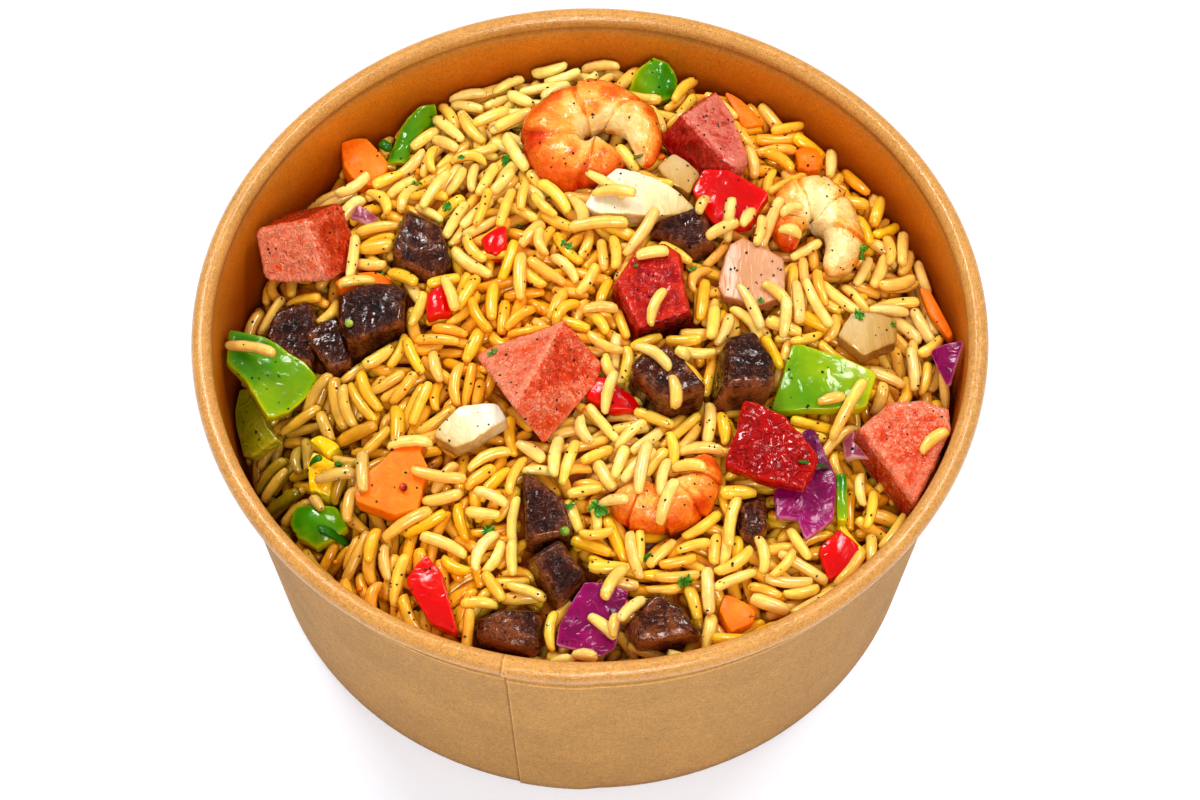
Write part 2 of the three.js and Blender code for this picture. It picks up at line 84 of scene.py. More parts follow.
def noise(points: Array, size: float, seed: int = 0) -> Array:
    """Smooth random values from -1 to 1 that change over a distance of about `size`.

    A hashed value stands on each corner of a cubic lattice, and the eight round a point are blended by
    6t^5 - 15t^4 + 10t^3.

    Args:
        points: places, with x, y and z along the last axis.
        size: the lattice's spacing in millimetres.
        seed: picks another set of values.

    Returns:
        One value for each point.
    """
    cell = points / size + 512.0
    low = np.floor(cell).astype(np.int64)
    t = cell - low
    t = t * t * t * (t * (t * 6 - 15) + 10)
    total = np.zeros(points.shape[:-1])
    for corner in np.ndindex(2, 2, 2):
        at = low + np.array(corner)
        key = at[..., 0] * 73856093 ^ at[..., 1] * 19349663 ^ at[..., 2] * 83492791 ^ (seed + 1) * 40503
        key = ((key ^ (key >> 13)) * 1274126177) & 0x7FFFFFFF
        key = (key ^ (key >> 15)) & 0xFFFF
        weight = np.prod(np.where(np.array(corner) == 1, t, 1 - t), axis=-1)
        total += weight * (key / 32767.5 - 1)
    return total


def layered(points: Array, size: float, octaves: int, seed: int = 0) -> Array:
    """Noise in octaves: each next one half the size and half as strong."""
    return sum(noise(points, size / 2**k, seed + 17 * k) / 2**k for k in range(octaves))


def creased(points: Array, size: float, octaves: int, seed: int = 0) -> Array:
    """Noise folded at zero, 1 - |n|, so that it has sharp ridges with soft hollows between them."""
    return sum((1 - 2 * np.abs(noise(points, size / 2**k, seed + 31 * k))) / 2**k for k in range(octaves))


def circle(columns: int) -> Array:
    """Even angles once round, in radians."""
    return np.arange(columns) / columns * TURN


def polar(radius: Array | float, angle: Array, height: Array | float) -> Array:
    """Points at a radius, an angle and a height, with x, y and z along a new last axis."""
    return np.stack(np.broadcast_arrays(radius * np.cos(angle), radius * np.sin(angle), height), -1)


def ring_quads(rows: int, columns: int, first: int = 0) -> Array:
    """Quads between each two rings of a stack.

    Args:
        rows: how many rings.
        columns: points in a ring. It closes on itself.
        first: the index of the first ring's first point.

    Returns:
        Four indices for each quad. They face out if the rings run counterclockwise seen from the first one.
    """
    r, c = np.meshgrid(np.arange(rows - 1), np.arange(columns), indexing="ij")
    after = (c + 1) % columns
    above, below = r * columns, (r + 1) * columns
    return np.stack([above + c, below + c, below + after, above + after], -1).reshape(-1, 4) + first


def shell_faces(rows: int, columns: int) -> list[Array]:
    """Faces of a closed shell whose points are a start, a stack of rings and an end.

    Args:
        rows: how many rings.
        columns: points in a ring.

    Returns:
        The quads between the rings, and the triangles of the two fans.
    """
    c = np.arange(columns)
    after = (c + 1) % columns
    last = 1 + (rows - 1) * columns
    fan = np.stack([np.zeros_like(c), 1 + c, 1 + after], -1)
    cap = np.stack([np.full_like(c, last + columns), last + after, last + c], -1)
    return [ring_quads(rows, columns, 1), np.concatenate([fan, cap])]


def repeated(faces: list[Array], copies: int, stride: int) -> list[Array]:
    """The faces of many alike shells whose points follow each other, `stride` points to a shell."""
    shift = (np.arange(copies) * stride)[:, None, None]
    return [(block[None] + shift).reshape(-1, block.shape[1]) for block in faces]


def shell_points(start: Array, rings: Array, end: Array) -> Array:
    """Lines up the points of shells for shell_faces.

    Args:
        start: the first pole of each shell, (shells, 3).
        rings: (shells, rows, columns, 3).
        end: the other pole of each shell, (shells, 3).

    Returns:
        Every point, (shells * (rows * columns + 2), 3).
    """
    shells = rings.shape[0]
    middle = rings.reshape(shells, -1, 3)
    return np.concatenate([start[:, None], middle, end[:, None]], axis=1).reshape(-1, 3)


def make_piece(
    name: str,
    points: Array,
    faces: list[Array],
    finish: "Finish",
    shades: dict[str, Array],
    node: str | None = None,
) -> bpy.types.Object:
    """Puts arrays into a new smooth-shaded piece that rides on the part.

    Args:
        name: the piece's name.
        points: (n, 3) in millimetres.
        faces: blocks of triangles or quads.
        finish: what it is made of.
        shades: point attributes by name, (n,) for a number or (n, 3) for a linear colour.
        node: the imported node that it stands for, if any.

    Returns:
        The object, at the origin.
    """
    mesh = bpy.data.meshes.new(name)
    corners = np.concatenate([block.ravel() for block in faces]).astype(np.int32)
    sides = np.concatenate([np.full(len(block), block.shape[1]) for block in faces])
    mesh.vertices.add(len(points))
    mesh.vertices.foreach_set("co", (points * MM).astype(np.float32).ravel())
    mesh.loops.add(len(corners))
    mesh.loops.foreach_set("vertex_index", corners)
    mesh.polygons.add(len(sides))
    mesh.polygons.foreach_set("loop_start", (np.cumsum(sides) - sides).astype(np.int32))
    mesh.update(calc_edges=True)
    mesh.shade_smooth()
    for label, values in shades.items():
        if values.ndim == 1:
            mesh.attributes.new(label, "FLOAT", "POINT").data.foreach_set("value", values.astype(np.float32))
        else:
            colours = np.concatenate([values, np.ones((len(values), 1))], axis=1).astype(np.float32)
            mesh.attributes.new(label, "FLOAT_COLOR", "POINT").data.foreach_set("color", colours.ravel())
    mesh.materials.append(finish.material())
    piece = bpy.data.objects.new(name, mesh)
    bpy.context.scene.collection.objects.link(piece)
    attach(piece, "root")
    if node:
        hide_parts(node)
    log.info("%s: %d points", name, len(points))
    return piece


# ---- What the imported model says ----
def cast(tree: BVHTree, origins: Array, ways: Array) -> Array:
    """Where rays first meet a surface.

    Args:
        tree: the surface, in metres.
        origins: (n, 3) in millimetres.
        ways: directions, (n, 3).

    Returns:
        (n, 3) in millimetres, nan where a ray misses.
    """
    found = [tree.ray_cast(Vector(start), Vector(way))[0] for start, way in zip(origins * MM, ways)]
    return np.array([tuple(p) if p else (math.nan,) * 3 for p in found]) / MM


@dataclass
class Hull:
    """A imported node: its surface for rays, its upper side, and its convex hull's corners and planes."""

    node: str
    tree: BVHTree = field(init=False)
    facing: Array = field(init=False)
    face_middle: Array = field(init=False)
    points: Array = field(init=False)
    normals: Array = field(init=False)
    offsets: Array = field(init=False)

    def __post_init__(self) -> None:
        """Reads the node's mesh and gathers its hull's planes, nearly parallel ones as one."""
        shape = bmesh.new()
        shape.from_mesh(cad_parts[self.node].data)
        self.tree = BVHTree.FromBMesh(shape)
        upper = [f for f in shape.faces if f.normal.z > 0.6]
        areas = np.array([f.calc_area() for f in upper])[:, None]
        self.facing = unit((areas * np.array([f.normal for f in upper])).sum(axis=0))
        centres = np.array([f.calc_center_median() for f in upper]) / MM
        self.face_middle = (areas * centres).sum(axis=0) / areas.sum()
        made = bmesh.ops.convex_hull(shape, input=shape.verts)["geom"]
        sides = [f for f in made if isinstance(f, bmesh.types.BMFace)]
        for f in sides:
            f.normal_update()
        sides.sort(key=lambda f: -f.calc_area())
        self.points = np.array([v.co for v in shape.verts if v.link_faces]) / MM
        middle = self.middle
        normals, offsets = [], []
        for f in sides:
            n = np.array(f.normal)
            anchor = np.array(f.calc_center_median()) / MM
            n = n if n @ (anchor - middle) > 0 else -n
            if all(n @ other < 0.975 for other in normals):
                normals.append(n)
                offsets.append(n @ anchor)
        shape.free()
        self.normals, self.offsets = np.array(normals), np.array(offsets)

    @property
    def middle(self) -> Array:
        """The mean of the hull's corners."""
        return self.points.mean(axis=0)

    def reach(self, directions: Array, middle: Array, sharpness: float) -> Array:
        """How far the hull reaches from `middle` in each direction, with its edges rounded.

        For planes n . p = h the distance is (sum of max(0, n . d / h)^s)^(-1/s), which nears the true
        polytope as s grows.

        Args:
            directions: unit vectors, (n, 3).
            middle: a point inside.
            sharpness: the power s.

        Returns:
            Distances, (n,).
        """
        out = np.maximum(self.offsets - self.normals @ middle, 0.4)
        ratios = np.maximum(directions @ self.normals.T / out, 0)
        top = ratios.max(axis=1)
        return 1 / (top * ((ratios / top[:, None]) ** sharpness).sum(axis=1) ** (1 / sharpness))


# ---- Finishes ----
def fill(tree: bpy.types.NodeTree, node: bpy.types.Node, inputs: dict) -> None:
    """Sets and links a node's inputs.

    Args:
        tree: the material's nodes.
        node: the node.
        inputs: by socket name or number, a constant or the socket to link.
    """
    for key, value in inputs.items():
        if isinstance(value, bpy.types.NodeSocket):
            tree.links.new(value, node.inputs[key])
        else:
            node.inputs[key].default_value = value


def add(
    tree: bpy.types.NodeTree,
    kind: str,
    inputs: dict | None = None,
    stops: tuple[tuple[float, str], ...] = (),
    output: int | str = 0,
    **settings: object,
) -> bpy.types.NodeSocket:
    """Adds a node.

    Args:
        tree: the material's nodes.
        kind: the node's type, without its prefix.
        inputs: as fill takes them.
        stops: on a colour ramp, its positions and hex colours.
        output: which socket is wanted.
        **settings: the node's own properties.

    Returns:
        The wanted output socket.
    """
    node = tree.nodes.new("ShaderNode" + kind)
    for key, value in settings.items():
        setattr(node, key, value)
    fill(tree, node, inputs or {})
    for i, (place, code) in enumerate(stops):
        elements = node.color_ramp.elements
        stop = elements[i] if i < 2 else elements.new(place)
        stop.position, stop.color = place, linear(code)
    return node.outputs[output]


@dataclass(frozen=True)
class Finish:
    """What a piece is made of. Each kind paints its own nodes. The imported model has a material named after
    each slot, so a finish is never named like a slot."""

    name: str
    slot: str

    def material(self) -> bpy.types.Material:
        """The finish's one material, made when it is first asked for.

        Returns:
            The material.
        """
        made = bpy.data.materials.get(self.name)
        if made:
            return made
        made = bpy.data.materials.new(self.name)
        made.use_nodes = True
        tree = made.node_tree
        self.paint(tree, tree.nodes["Principled BSDF"])
        return made

    def paint(self, tree: bpy.types.NodeTree, shader: bpy.types.Node) -> None:
        """Sets the shader's sockets and links the patterns."""
        raise NotImplementedError


@dataclass(frozen=True)
class Cooked(Finish):
    """Cut and fried food, moist and oily: a ramp of its own colours, read from the surface's shade, a mottled
    pattern and a net of thin lines, under a thin gloss, with light going a little way in."""

    stops: tuple[tuple[float, str], ...] = ((0.0, "808080"), (1.0, "FFFFFF"))
    mottle_mm: float = 2.0
    mottle: float = 0.3
    swirl: float = 0.0
    stretch: tuple[float, float, float] = (1.0, 1.0, 1.0)
    line_mm: float = 2.0
    lines: float = 0.0
    line_rise: float = 0.0
    roughness: float = 0.3
    clear: float = 0.0
    coat: float = 0.3
    glow: float = 0.2
    glow_mm: float = 0.8
    bump_mm: float = 0.6
    bump: float = 0.25

    def paint(self, tree: bpy.types.NodeTree, shader: bpy.types.Node) -> None:
        """Shade, mottling and lines pick the colour, and a finer noise breaks up the gloss.

        The lines run where a noise crosses its middle value.

        Args:
            tree: the material's nodes.
            shader: its surface shader.
        """
        place = add(tree, "TexCoord", output="Object")
        place = add(tree, "Mapping", {"Vector": place, "Scale": [s / MM for s in self.stretch]})
        inputs = {"Vector": place, "Scale": 1 / self.mottle_mm, "Detail": 5.0, "Distortion": self.swirl}
        centred = add(tree, "Math", {0: add(tree, "TexNoise", inputs), 1: -0.5}, operation="ADD")
        shade = add(tree, "Attribute", output="Fac", attribute_name="shade")
        moved = add(tree, "Math", {0: centred, 1: self.mottle * 2.5, 2: shade}, operation="MULTIPLY_ADD")
        inputs = {"Vector": place, "Scale": 1 / self.line_mm, "Detail": 2.0, "Distortion": self.swirl + 0.5}
        apart = add(tree, "Math", {0: add(tree, "TexNoise", inputs), 1: 0.5}, operation="SUBTRACT")
        apart = add(tree, "Math", {0: apart}, operation="ABSOLUTE")
        inputs = {"Value": apart, "From Min": 0.0, "From Max": 0.09, "To Min": 1.0, "To Max": 0.0}
        line = add(tree, "MapRange", inputs, interpolation_type="SMOOTHSTEP")
        lined = add(tree, "Math", {0: line, 1: self.lines, 2: moved}, operation="MULTIPLY_ADD")
        ridges = add(tree, "Bump", {"Height": line, "Strength": 1.0, "Distance": self.line_rise * MM})
        fine = add(tree, "TexNoise", {"Vector": place, "Scale": 1 / self.bump_mm, "Detail": 3.0})
        rise = {"Height": fine, "Strength": self.bump, "Distance": self.bump_mm * 0.5 * MM, "Normal": ridges}
        dull = {"Value": fine, "To Min": self.roughness * 0.7, "To Max": self.roughness * 1.4}
        fill(tree, shader, {
            "Base Color": add(tree, "ValToRGB", {"Fac": lined}, stops=self.stops),
            "Normal": add(tree, "Bump", rise),
            "Roughness": add(tree, "MapRange", dull),
            "IOR": MOIST_IOR,
            "Coat Weight": self.coat,
            "Coat Roughness": 0.12,
            "Transmission Weight": self.clear,
            "Subsurface Weight": self.glow,
            "Subsurface Radius": (1.0, 0.55, 0.25),
            "Subsurface Scale": self.glow_mm * MM,
        })


@dataclass(frozen=True)
class Starch(Finish):
    """Parboiled long-grain rice, boiled and fried in coloured oil: each grain has a tint of its own, which
    deepens along noisy streaks, and a smooth oily skin that breaks the light into short dashes."""

    streak_mm: float = 2.2
    bump_mm: float = 0.9
    roughness: float = 0.2

    def paint(self, tree: bpy.types.NodeTree, shader: bpy.types.Node) -> None:
        """The tint attribute is varied by noise, with a fine bump under a clear coat of oil.

        Args:
            tree: the material's nodes.
            shader: its surface shader.
        """
        place = add(tree, "TexCoord", output="Object")
        place = add(tree, "Mapping", {"Vector": place, "Scale": [1 / MM] * 3})
        streaks = add(tree, "TexNoise", {"Vector": place, "Scale": 1 / self.streak_mm, "Detail": 3.0})
        inputs = {"Value": streaks, "From Min": 0.3, "From Max": 0.7, "To Min": 0.86, "To Max": 1.1}
        level = add(tree, "MapRange", inputs)
        tint = add(tree, "Attribute", output="Color", attribute_name="tint")
        fine = add(tree, "TexNoise", {"Vector": place, "Scale": 1 / self.bump_mm, "Detail": 2.0})
        fill(tree, shader, {
            "Base Color": add(tree, "HueSaturation", {"Color": tint, "Value": level}),
            "Normal": add(tree, "Bump", {"Height": fine, "Strength": 0.25, "Distance": 0.4 * MM}),
            "Roughness": self.roughness,
            "IOR": MOIST_IOR,
            "Coat Weight": 0.5,
            "Coat Roughness": 0.04,
            "Subsurface Weight": 0.9,
            "Subsurface Radius": (1.0, 0.6, 0.15),
            "Subsurface Scale": 1.6 * MM,
        })


@dataclass(frozen=True)
class Kraft(Finish):
    """Unbleached kraft paperboard: brown pulp pressed flat, so it shows short fibres and dark flecks. The
    inside has a thin clear film against grease, which deepens the colour and gives a soft gloss, and the
    rolled rim is stretched smooth and lighter. Down the inside the colour is painted lighter under the rim
    and darker towards the food: painted light and shade. The seam and the ridge bear painted highlights and
    a painted shadow."""

    outside: str = "B88848"
    rim: str = "CC9450"
    # The inner colour just under the rim, lighter than lower down: painted light.
    lit_lip: str = "D8841C"
    inside: str = "AC5200"
    fleck: str = "8A5A2A"
    fibre_mm: float = 0.55
    cross_mm: float = 0.5
    cloud_mm: float = 11.0
    fleck_mm: float = 0.5

    def paint(self, tree: bpy.types.NodeTree, shader: bpy.types.Node) -> None:
        """The rim and film attributes pick the base, and fibres, flecks and clouds are laid over it.

        Args:
            tree: the material's nodes.
            shader: its surface shader.
        """
        place = add(tree, "TexCoord", output="Object")
        upright = add(tree, "Mapping", {"Vector": place, "Scale": [1 / MM, 1 / MM, 0.45 / MM]})
        level = add(tree, "Mapping", {"Vector": place, "Scale": [0.5 / MM, 0.5 / MM, 1 / MM]})
        film = add(tree, "Attribute", output="Fac", attribute_name="film")
        rim = add(tree, "Attribute", output="Fac", attribute_name="rim")
        mark = add(tree, "Attribute", output="Fac", attribute_name="mark")
        stops = ((0.0, self.outside), (0.3, self.outside), (0.45, self.lit_lip), (1.0, self.inside))
        base = add(tree, "ValToRGB", {"Fac": film}, stops=stops)
        base = add(tree, "Mix", {0: rim, 6: base, 7: linear(self.rim)}, output=2, data_type="RGBA")
        inputs = {"Vector": upright, "Scale": 1 / self.fibre_mm, "Detail": 2.0, "Distortion": 2.0}
        tall = add(tree, "TexNoise", inputs)
        inputs = {"Vector": level, "Scale": 1 / self.cross_mm, "Detail": 2.0, "Distortion": 2.0}
        fibres = add(tree, "Math", {0: tall, 1: add(tree, "TexNoise", inputs)}, operation="ADD")
        even = add(tree, "Mapping", {"Vector": place, "Scale": [1 / MM] * 3})
        clouds = add(tree, "TexNoise", {"Vector": even, "Scale": 1 / self.cloud_mm, "Detail": 4.0})
        pulp = add(tree, "Math", {0: clouds, 1: 0.4, 2: fibres}, operation="MULTIPLY_ADD")
        inputs = {"Value": pulp, "From Min": 0.85, "From Max": 1.55, "To Min": -0.34, "To Max": 0.3}
        pulp = add(tree, "MapRange", inputs)
        calm = add(tree, "MapRange", {"Value": film, "To Min": 1.0, "To Max": 0.5})
        light = add(tree, "Math", {0: pulp, 1: calm, 2: 1.0}, operation="MULTIPLY_ADD")
        # The mark attribute is painted light: a painted shadow beside the seam darkens the paper, and painted
        # highlights on the seam's edge and along the ridge lighten it.
        light = add(tree, "Math", {0: mark, 1: -0.5, 2: light}, operation="MULTIPLY_ADD")
        base = add(tree, "HueSaturation", {"Color": base, "Value": light})
        specks = add(tree, "TexNoise", {"Vector": upright, "Scale": 1 / self.fleck_mm, "Detail": 1.0})
        inputs = {"Value": specks, "From Min": 0.71, "From Max": 0.78, "To Min": 0.0, "To Max": 0.55}
        inputs = {0: add(tree, "MapRange", inputs), 6: base, 7: linear(self.fleck)}
        sheen = add(tree, "Math", {0: film, 1: 0.7, 2: rim}, operation="MULTIPLY_ADD")
        fill(tree, shader, {
            "Base Color": add(tree, "Mix", inputs, output=2, data_type="RGBA"),
            "Normal": add(tree, "Bump", {"Height": fibres, "Strength": 0.35, "Distance": 0.15 * MM}),
            "Roughness": add(tree, "MapRange", {"Value": sheen, "To Min": 0.75, "To Max": 0.15}),
            "IOR": 1.5,
        })


@dataclass(frozen=True)
class Plain(Finish):
    """A studio surface of one even colour."""

    colour: str = "FFFFFF"
    light: float = 0.0

    def paint(self, tree: bpy.types.NodeTree, shader: bpy.types.Node) -> None:
        """Sets the colour, a matt roughness and what it shines of itself.

        Args:
            tree: the material's nodes.
            shader: its surface shader.
        """
        own = linear(self.colour)
        fill(tree, shader, {"Base Color": own, "Emission Color": own, "Emission Strength": self.light})
        fill(tree, shader, {"Roughness": 0.9})


KRAFT = Kraft("kraft paperboard", "kraft_paper")
GRAINS = Starch("fried rice grains", "rice")
# Packed rice between the grains that show: brown-orange where the light hardly reaches.
CORE = Cooked(
    "packed rice", "rice", ((0.0, "8E3C00"), (0.5, "CC6800"), (1.0, "F09C10")),
    2.4, 0.5, roughness=0.5, coat=0.1, glow=0.0,
)
# Poached prawn flesh: cream muscle under an orange-red skin that fades towards the belly.
PRAWN = Cooked(
    "prawn flesh", "prawn", ((0.0, "FFE2A4"), (0.3, "FAB04C"), (0.6, "EC7010"), (1.0, "D03000")),
    1.8, 0.2, 0.8, line_mm=1.6, lines=0.06, line_rise=0.08, roughness=0.2, coat=0.35, glow=0.6, glow_mm=1.8,
    bump_mm=0.7, bump=0.3,
)
# Cured sausage, sliced and fried: salmon lean with curled pale fibres. The paler end of the ramp also serves
# the painted highlight along the edges and the painted light on lit faces.
SAUSAGE = Cooked(
    "cured sausage", "sausage", ((0.0, "820E00"), (0.35, "C02C06"), (0.65, "E65022"), (1.0, "FF9A78")),
    1.3, 0.22, 1.6, (1.0, 1.0, 0.5), line_mm=1.8, lines=0.34, line_rise=0.26, roughness=0.18, coat=0.2,
    glow=0.2, glow_mm=1.0, bump_mm=0.7, bump=0.25,
)
DARK_SAUSAGE = Cooked(
    "smoked sausage", "sausage", ((0.0, "560000"), (0.4, "980404"), (0.7, "C0382C"), (1.0, "DC7E68")),
    1.1, 0.2, 1.4, (1.0, 1.0, 0.4), line_mm=1.7, lines=0.16, line_rise=0.1, roughness=0.2, coat=0.4,
    glow=0.15, bump_mm=0.6, bump=0.3,
)
RED_SAUSAGE = Cooked(
    "spiced red sausage", "sausage", ((0.0, "200000"), (0.25, "6A0000"), (0.6, "9C0000"), (1.0, "CC2C04")),
    1.6, 0.2, 0.8, line_mm=2.2, lines=0.12, line_rise=0.1, roughness=0.16, coat=0.15, glow=0.08,
    bump_mm=0.7, bump=0.25,
)
# Seared beef: a nearly black, wrinkled crust with oil on it, and brown fibrous sides. Faces that look to the
# front are painted browner and the tops darker, which is partly painted light and partly the crust's own
# colour.
BEEF = Cooked(
    "seared beef", "beef", ((0.0, "060000"), (0.35, "1E0400"), (0.65, "461806"), (1.0, "96552C")),
    1.3, 0.22, 1.0, (1.0, 1.0, 0.55), line_mm=2.0, lines=0.1, line_rise=0.14, roughness=0.1, coat=0.2,
    glow=0.0, bump_mm=0.8, bump=0.2,
)
# Sweet pepper: a waxy skin over paler flesh that shows along the cuts.
GREEN = Cooked(
    "green pepper", "green_pepper", ((0.0, "123A00"), (0.35, "3C8400"), (0.7, "8CAA00"), (1.0, "CCCC10")),
    6.0, 0.12, line_mm=5.0, lines=0.02, line_rise=0.04, roughness=0.16, coat=0.2, glow=0.3, glow_mm=1.2,
    bump_mm=1.6, bump=0.12,
)
OLIVE = Cooked(
    "olive green pepper", "green_pepper", ((0.0, "4A5200"), (0.5, "868200"), (1.0, "B8A620")),
    5.0, 0.14, line_mm=4.0, lines=0.06, line_rise=0.1, roughness=0.22, coat=0.3, glow=0.3, glow_mm=1.2,
    bump_mm=1.6, bump=0.12,
)
RED = Cooked(
    "red pepper", "red_pepper", ((0.0, "900000"), (0.5, "D00000"), (1.0, "E83008")),
    5.0, 0.12, line_mm=5.0, lines=0.03, line_rise=0.05, roughness=0.16, coat=0.15, glow=0.2, glow_mm=1.0,
    bump_mm=1.6, bump=0.12,
)
ROASTED = Cooked(
    "roasted red pepper", "red_pepper", ((0.0, "5A0000"), (0.5, "A80000"), (1.0, "D02000")),
    2.2, 0.25, 0.8, line_mm=3.4, lines=0.12, line_rise=0.3, roughness=0.12, coat=0.25, glow=0.1,
    bump_mm=1.1, bump=0.1,
)
YELLOW = Cooked(
    "yellow pepper", "yellow_pepper", ((0.0, "F08C00"), (0.5, "FFC200"), (1.0, "FFE030")),
    4.0, 0.2, line_mm=3.0, lines=0.06, line_rise=0.12, roughness=0.22, coat=0.3, glow=0.3, glow_mm=1.2,
    bump_mm=1.4, bump=0.15,
)
# Carrot: orange core and bast with fine rings, soft from frying.
CARROT = Cooked(
    "fried carrot", "carrot", ((0.0, "D84A00"), (0.45, "F47C00"), (1.0, "FCA000")),
    3.4, 0.2, 0.5, line_mm=3.5, lines=0.08, line_rise=0.06, roughness=0.45, coat=0.05, glow=0.35,
    glow_mm=1.2, bump_mm=0.8, bump=0.2,
)
# Onion scale: translucent white layers with fine veins.
ONION = Cooked(
    "onion scale", "onion", ((0.0, "CC9C50"), (0.4, "F2DCA6"), (0.75, "FEF4D8"), (1.0, "FFFEF6")),
    2.0, 0.1, 0.3, (1.0, 0.16, 1.0), line_mm=2.0, lines=-0.1, line_rise=0.05, roughness=0.16, clear=0.1,
    coat=0.35, glow=0.5, glow_mm=1.6, bump_mm=0.9, bump=0.1,
)
PINK_ONION = Cooked(
    "pink onion", "onion", ((0.0, "A05C28"), (0.4, "CC8A58"), (0.75, "E4AE86"), (1.0, "ECC4A8")),
    1.8, 0.05, 0.3, (1.0, 0.16, 1.0), line_mm=1.8, lines=0.03, line_rise=0.03, roughness=0.26, clear=0.15,
    coat=0.1, glow=0.5, glow_mm=1.8, bump_mm=0.9, bump=0.1,
)
CLEAR_ONION = Cooked(
    "cooked onion", "onion", ((0.0, "8E5816"), (0.4, "C89848"), (0.75, "E0BE80"), (1.0, "EED8A8")),
    1.8, 0.08, 0.3, (1.0, 0.16, 1.0), line_mm=1.8, lines=0.08, line_rise=0.04, roughness=0.14, clear=0.2,
    coat=0.5, glow=0.3, glow_mm=1.8, bump_mm=0.9, bump=0.1,
)
# Red cabbage: a purple-magenta skin over white flesh, which shows along torn edges.
CABBAGE = Cooked(
    "red cabbage", "cabbage", ((0.0, "2A0028"), (0.45, "78004A"), (0.75, "A00864"), (1.0, "DC98BC")),
    3.5, 0.16, 0.4, line_mm=3.5, lines=0.08, line_rise=0.06, roughness=0.2, coat=0.1, glow=0.12,
    bump_mm=1.3, bump=0.12,
)
PALE_CABBAGE = Cooked(
    "cabbage rib", "cabbage", ((0.0, "5A0820"), (0.5, "964058"), (1.0, "D8A49C")),
    3.0, 0.2, 0.4, line_mm=3.0, lines=0.06, line_rise=0.05, roughness=0.2, coat=0.15, glow=0.4, glow_mm=1.2,
    bump_mm=1.3, bump=0.12,
)
HERB = Cooked(
    "parsley and chives", "green_pepper", ((0.0, "0E3A06"), (0.5, "2C7C10"), (1.0, "86C43C")),
    1.2, 0.25, roughness=0.3, coat=0.3, glow=0.1, bump_mm=0.5,
)
SPICE = Cooked(
    "ground black pepper", "beef", ((0.0, "0C0806"), (0.6, "2A1A10"), (1.0, "6A4A2C")),
    0.4, 0.3, roughness=0.6, coat=0.1, glow=0.0, bump_mm=0.2,
)
SEED = Cooked(
    "seed husk", "rice", ((0.0, "3E3C18"), (0.5, "8A8434"), (1.0, "D0C684")),
    0.5, 0.3, stretch=(1.0, 0.3, 1.0), roughness=0.5, coat=0.1, glow=0.0, bump_mm=0.3,
)
BERRY = Cooked(
    "green peppercorn", "green_pepper", ((0.0, "4E6A10"), (0.5, "8CAA34"), (1.0, "CFE07A")),
    0.8, 0.3, roughness=0.25, coat=0.4, glow=0.4, bump_mm=0.4,
)
RED_BERRY = Cooked(
    "pink peppercorn", "red_pepper", ((0.0, "4A0A02"), (0.5, "A02408"), (1.0, "D85A24")),
    0.6, 0.3, roughness=0.3, coat=0.4, glow=0.1, bump_mm=0.4,
)
FLOOR = Plain("studio floor", "", "F0F5FF", light=0.12)


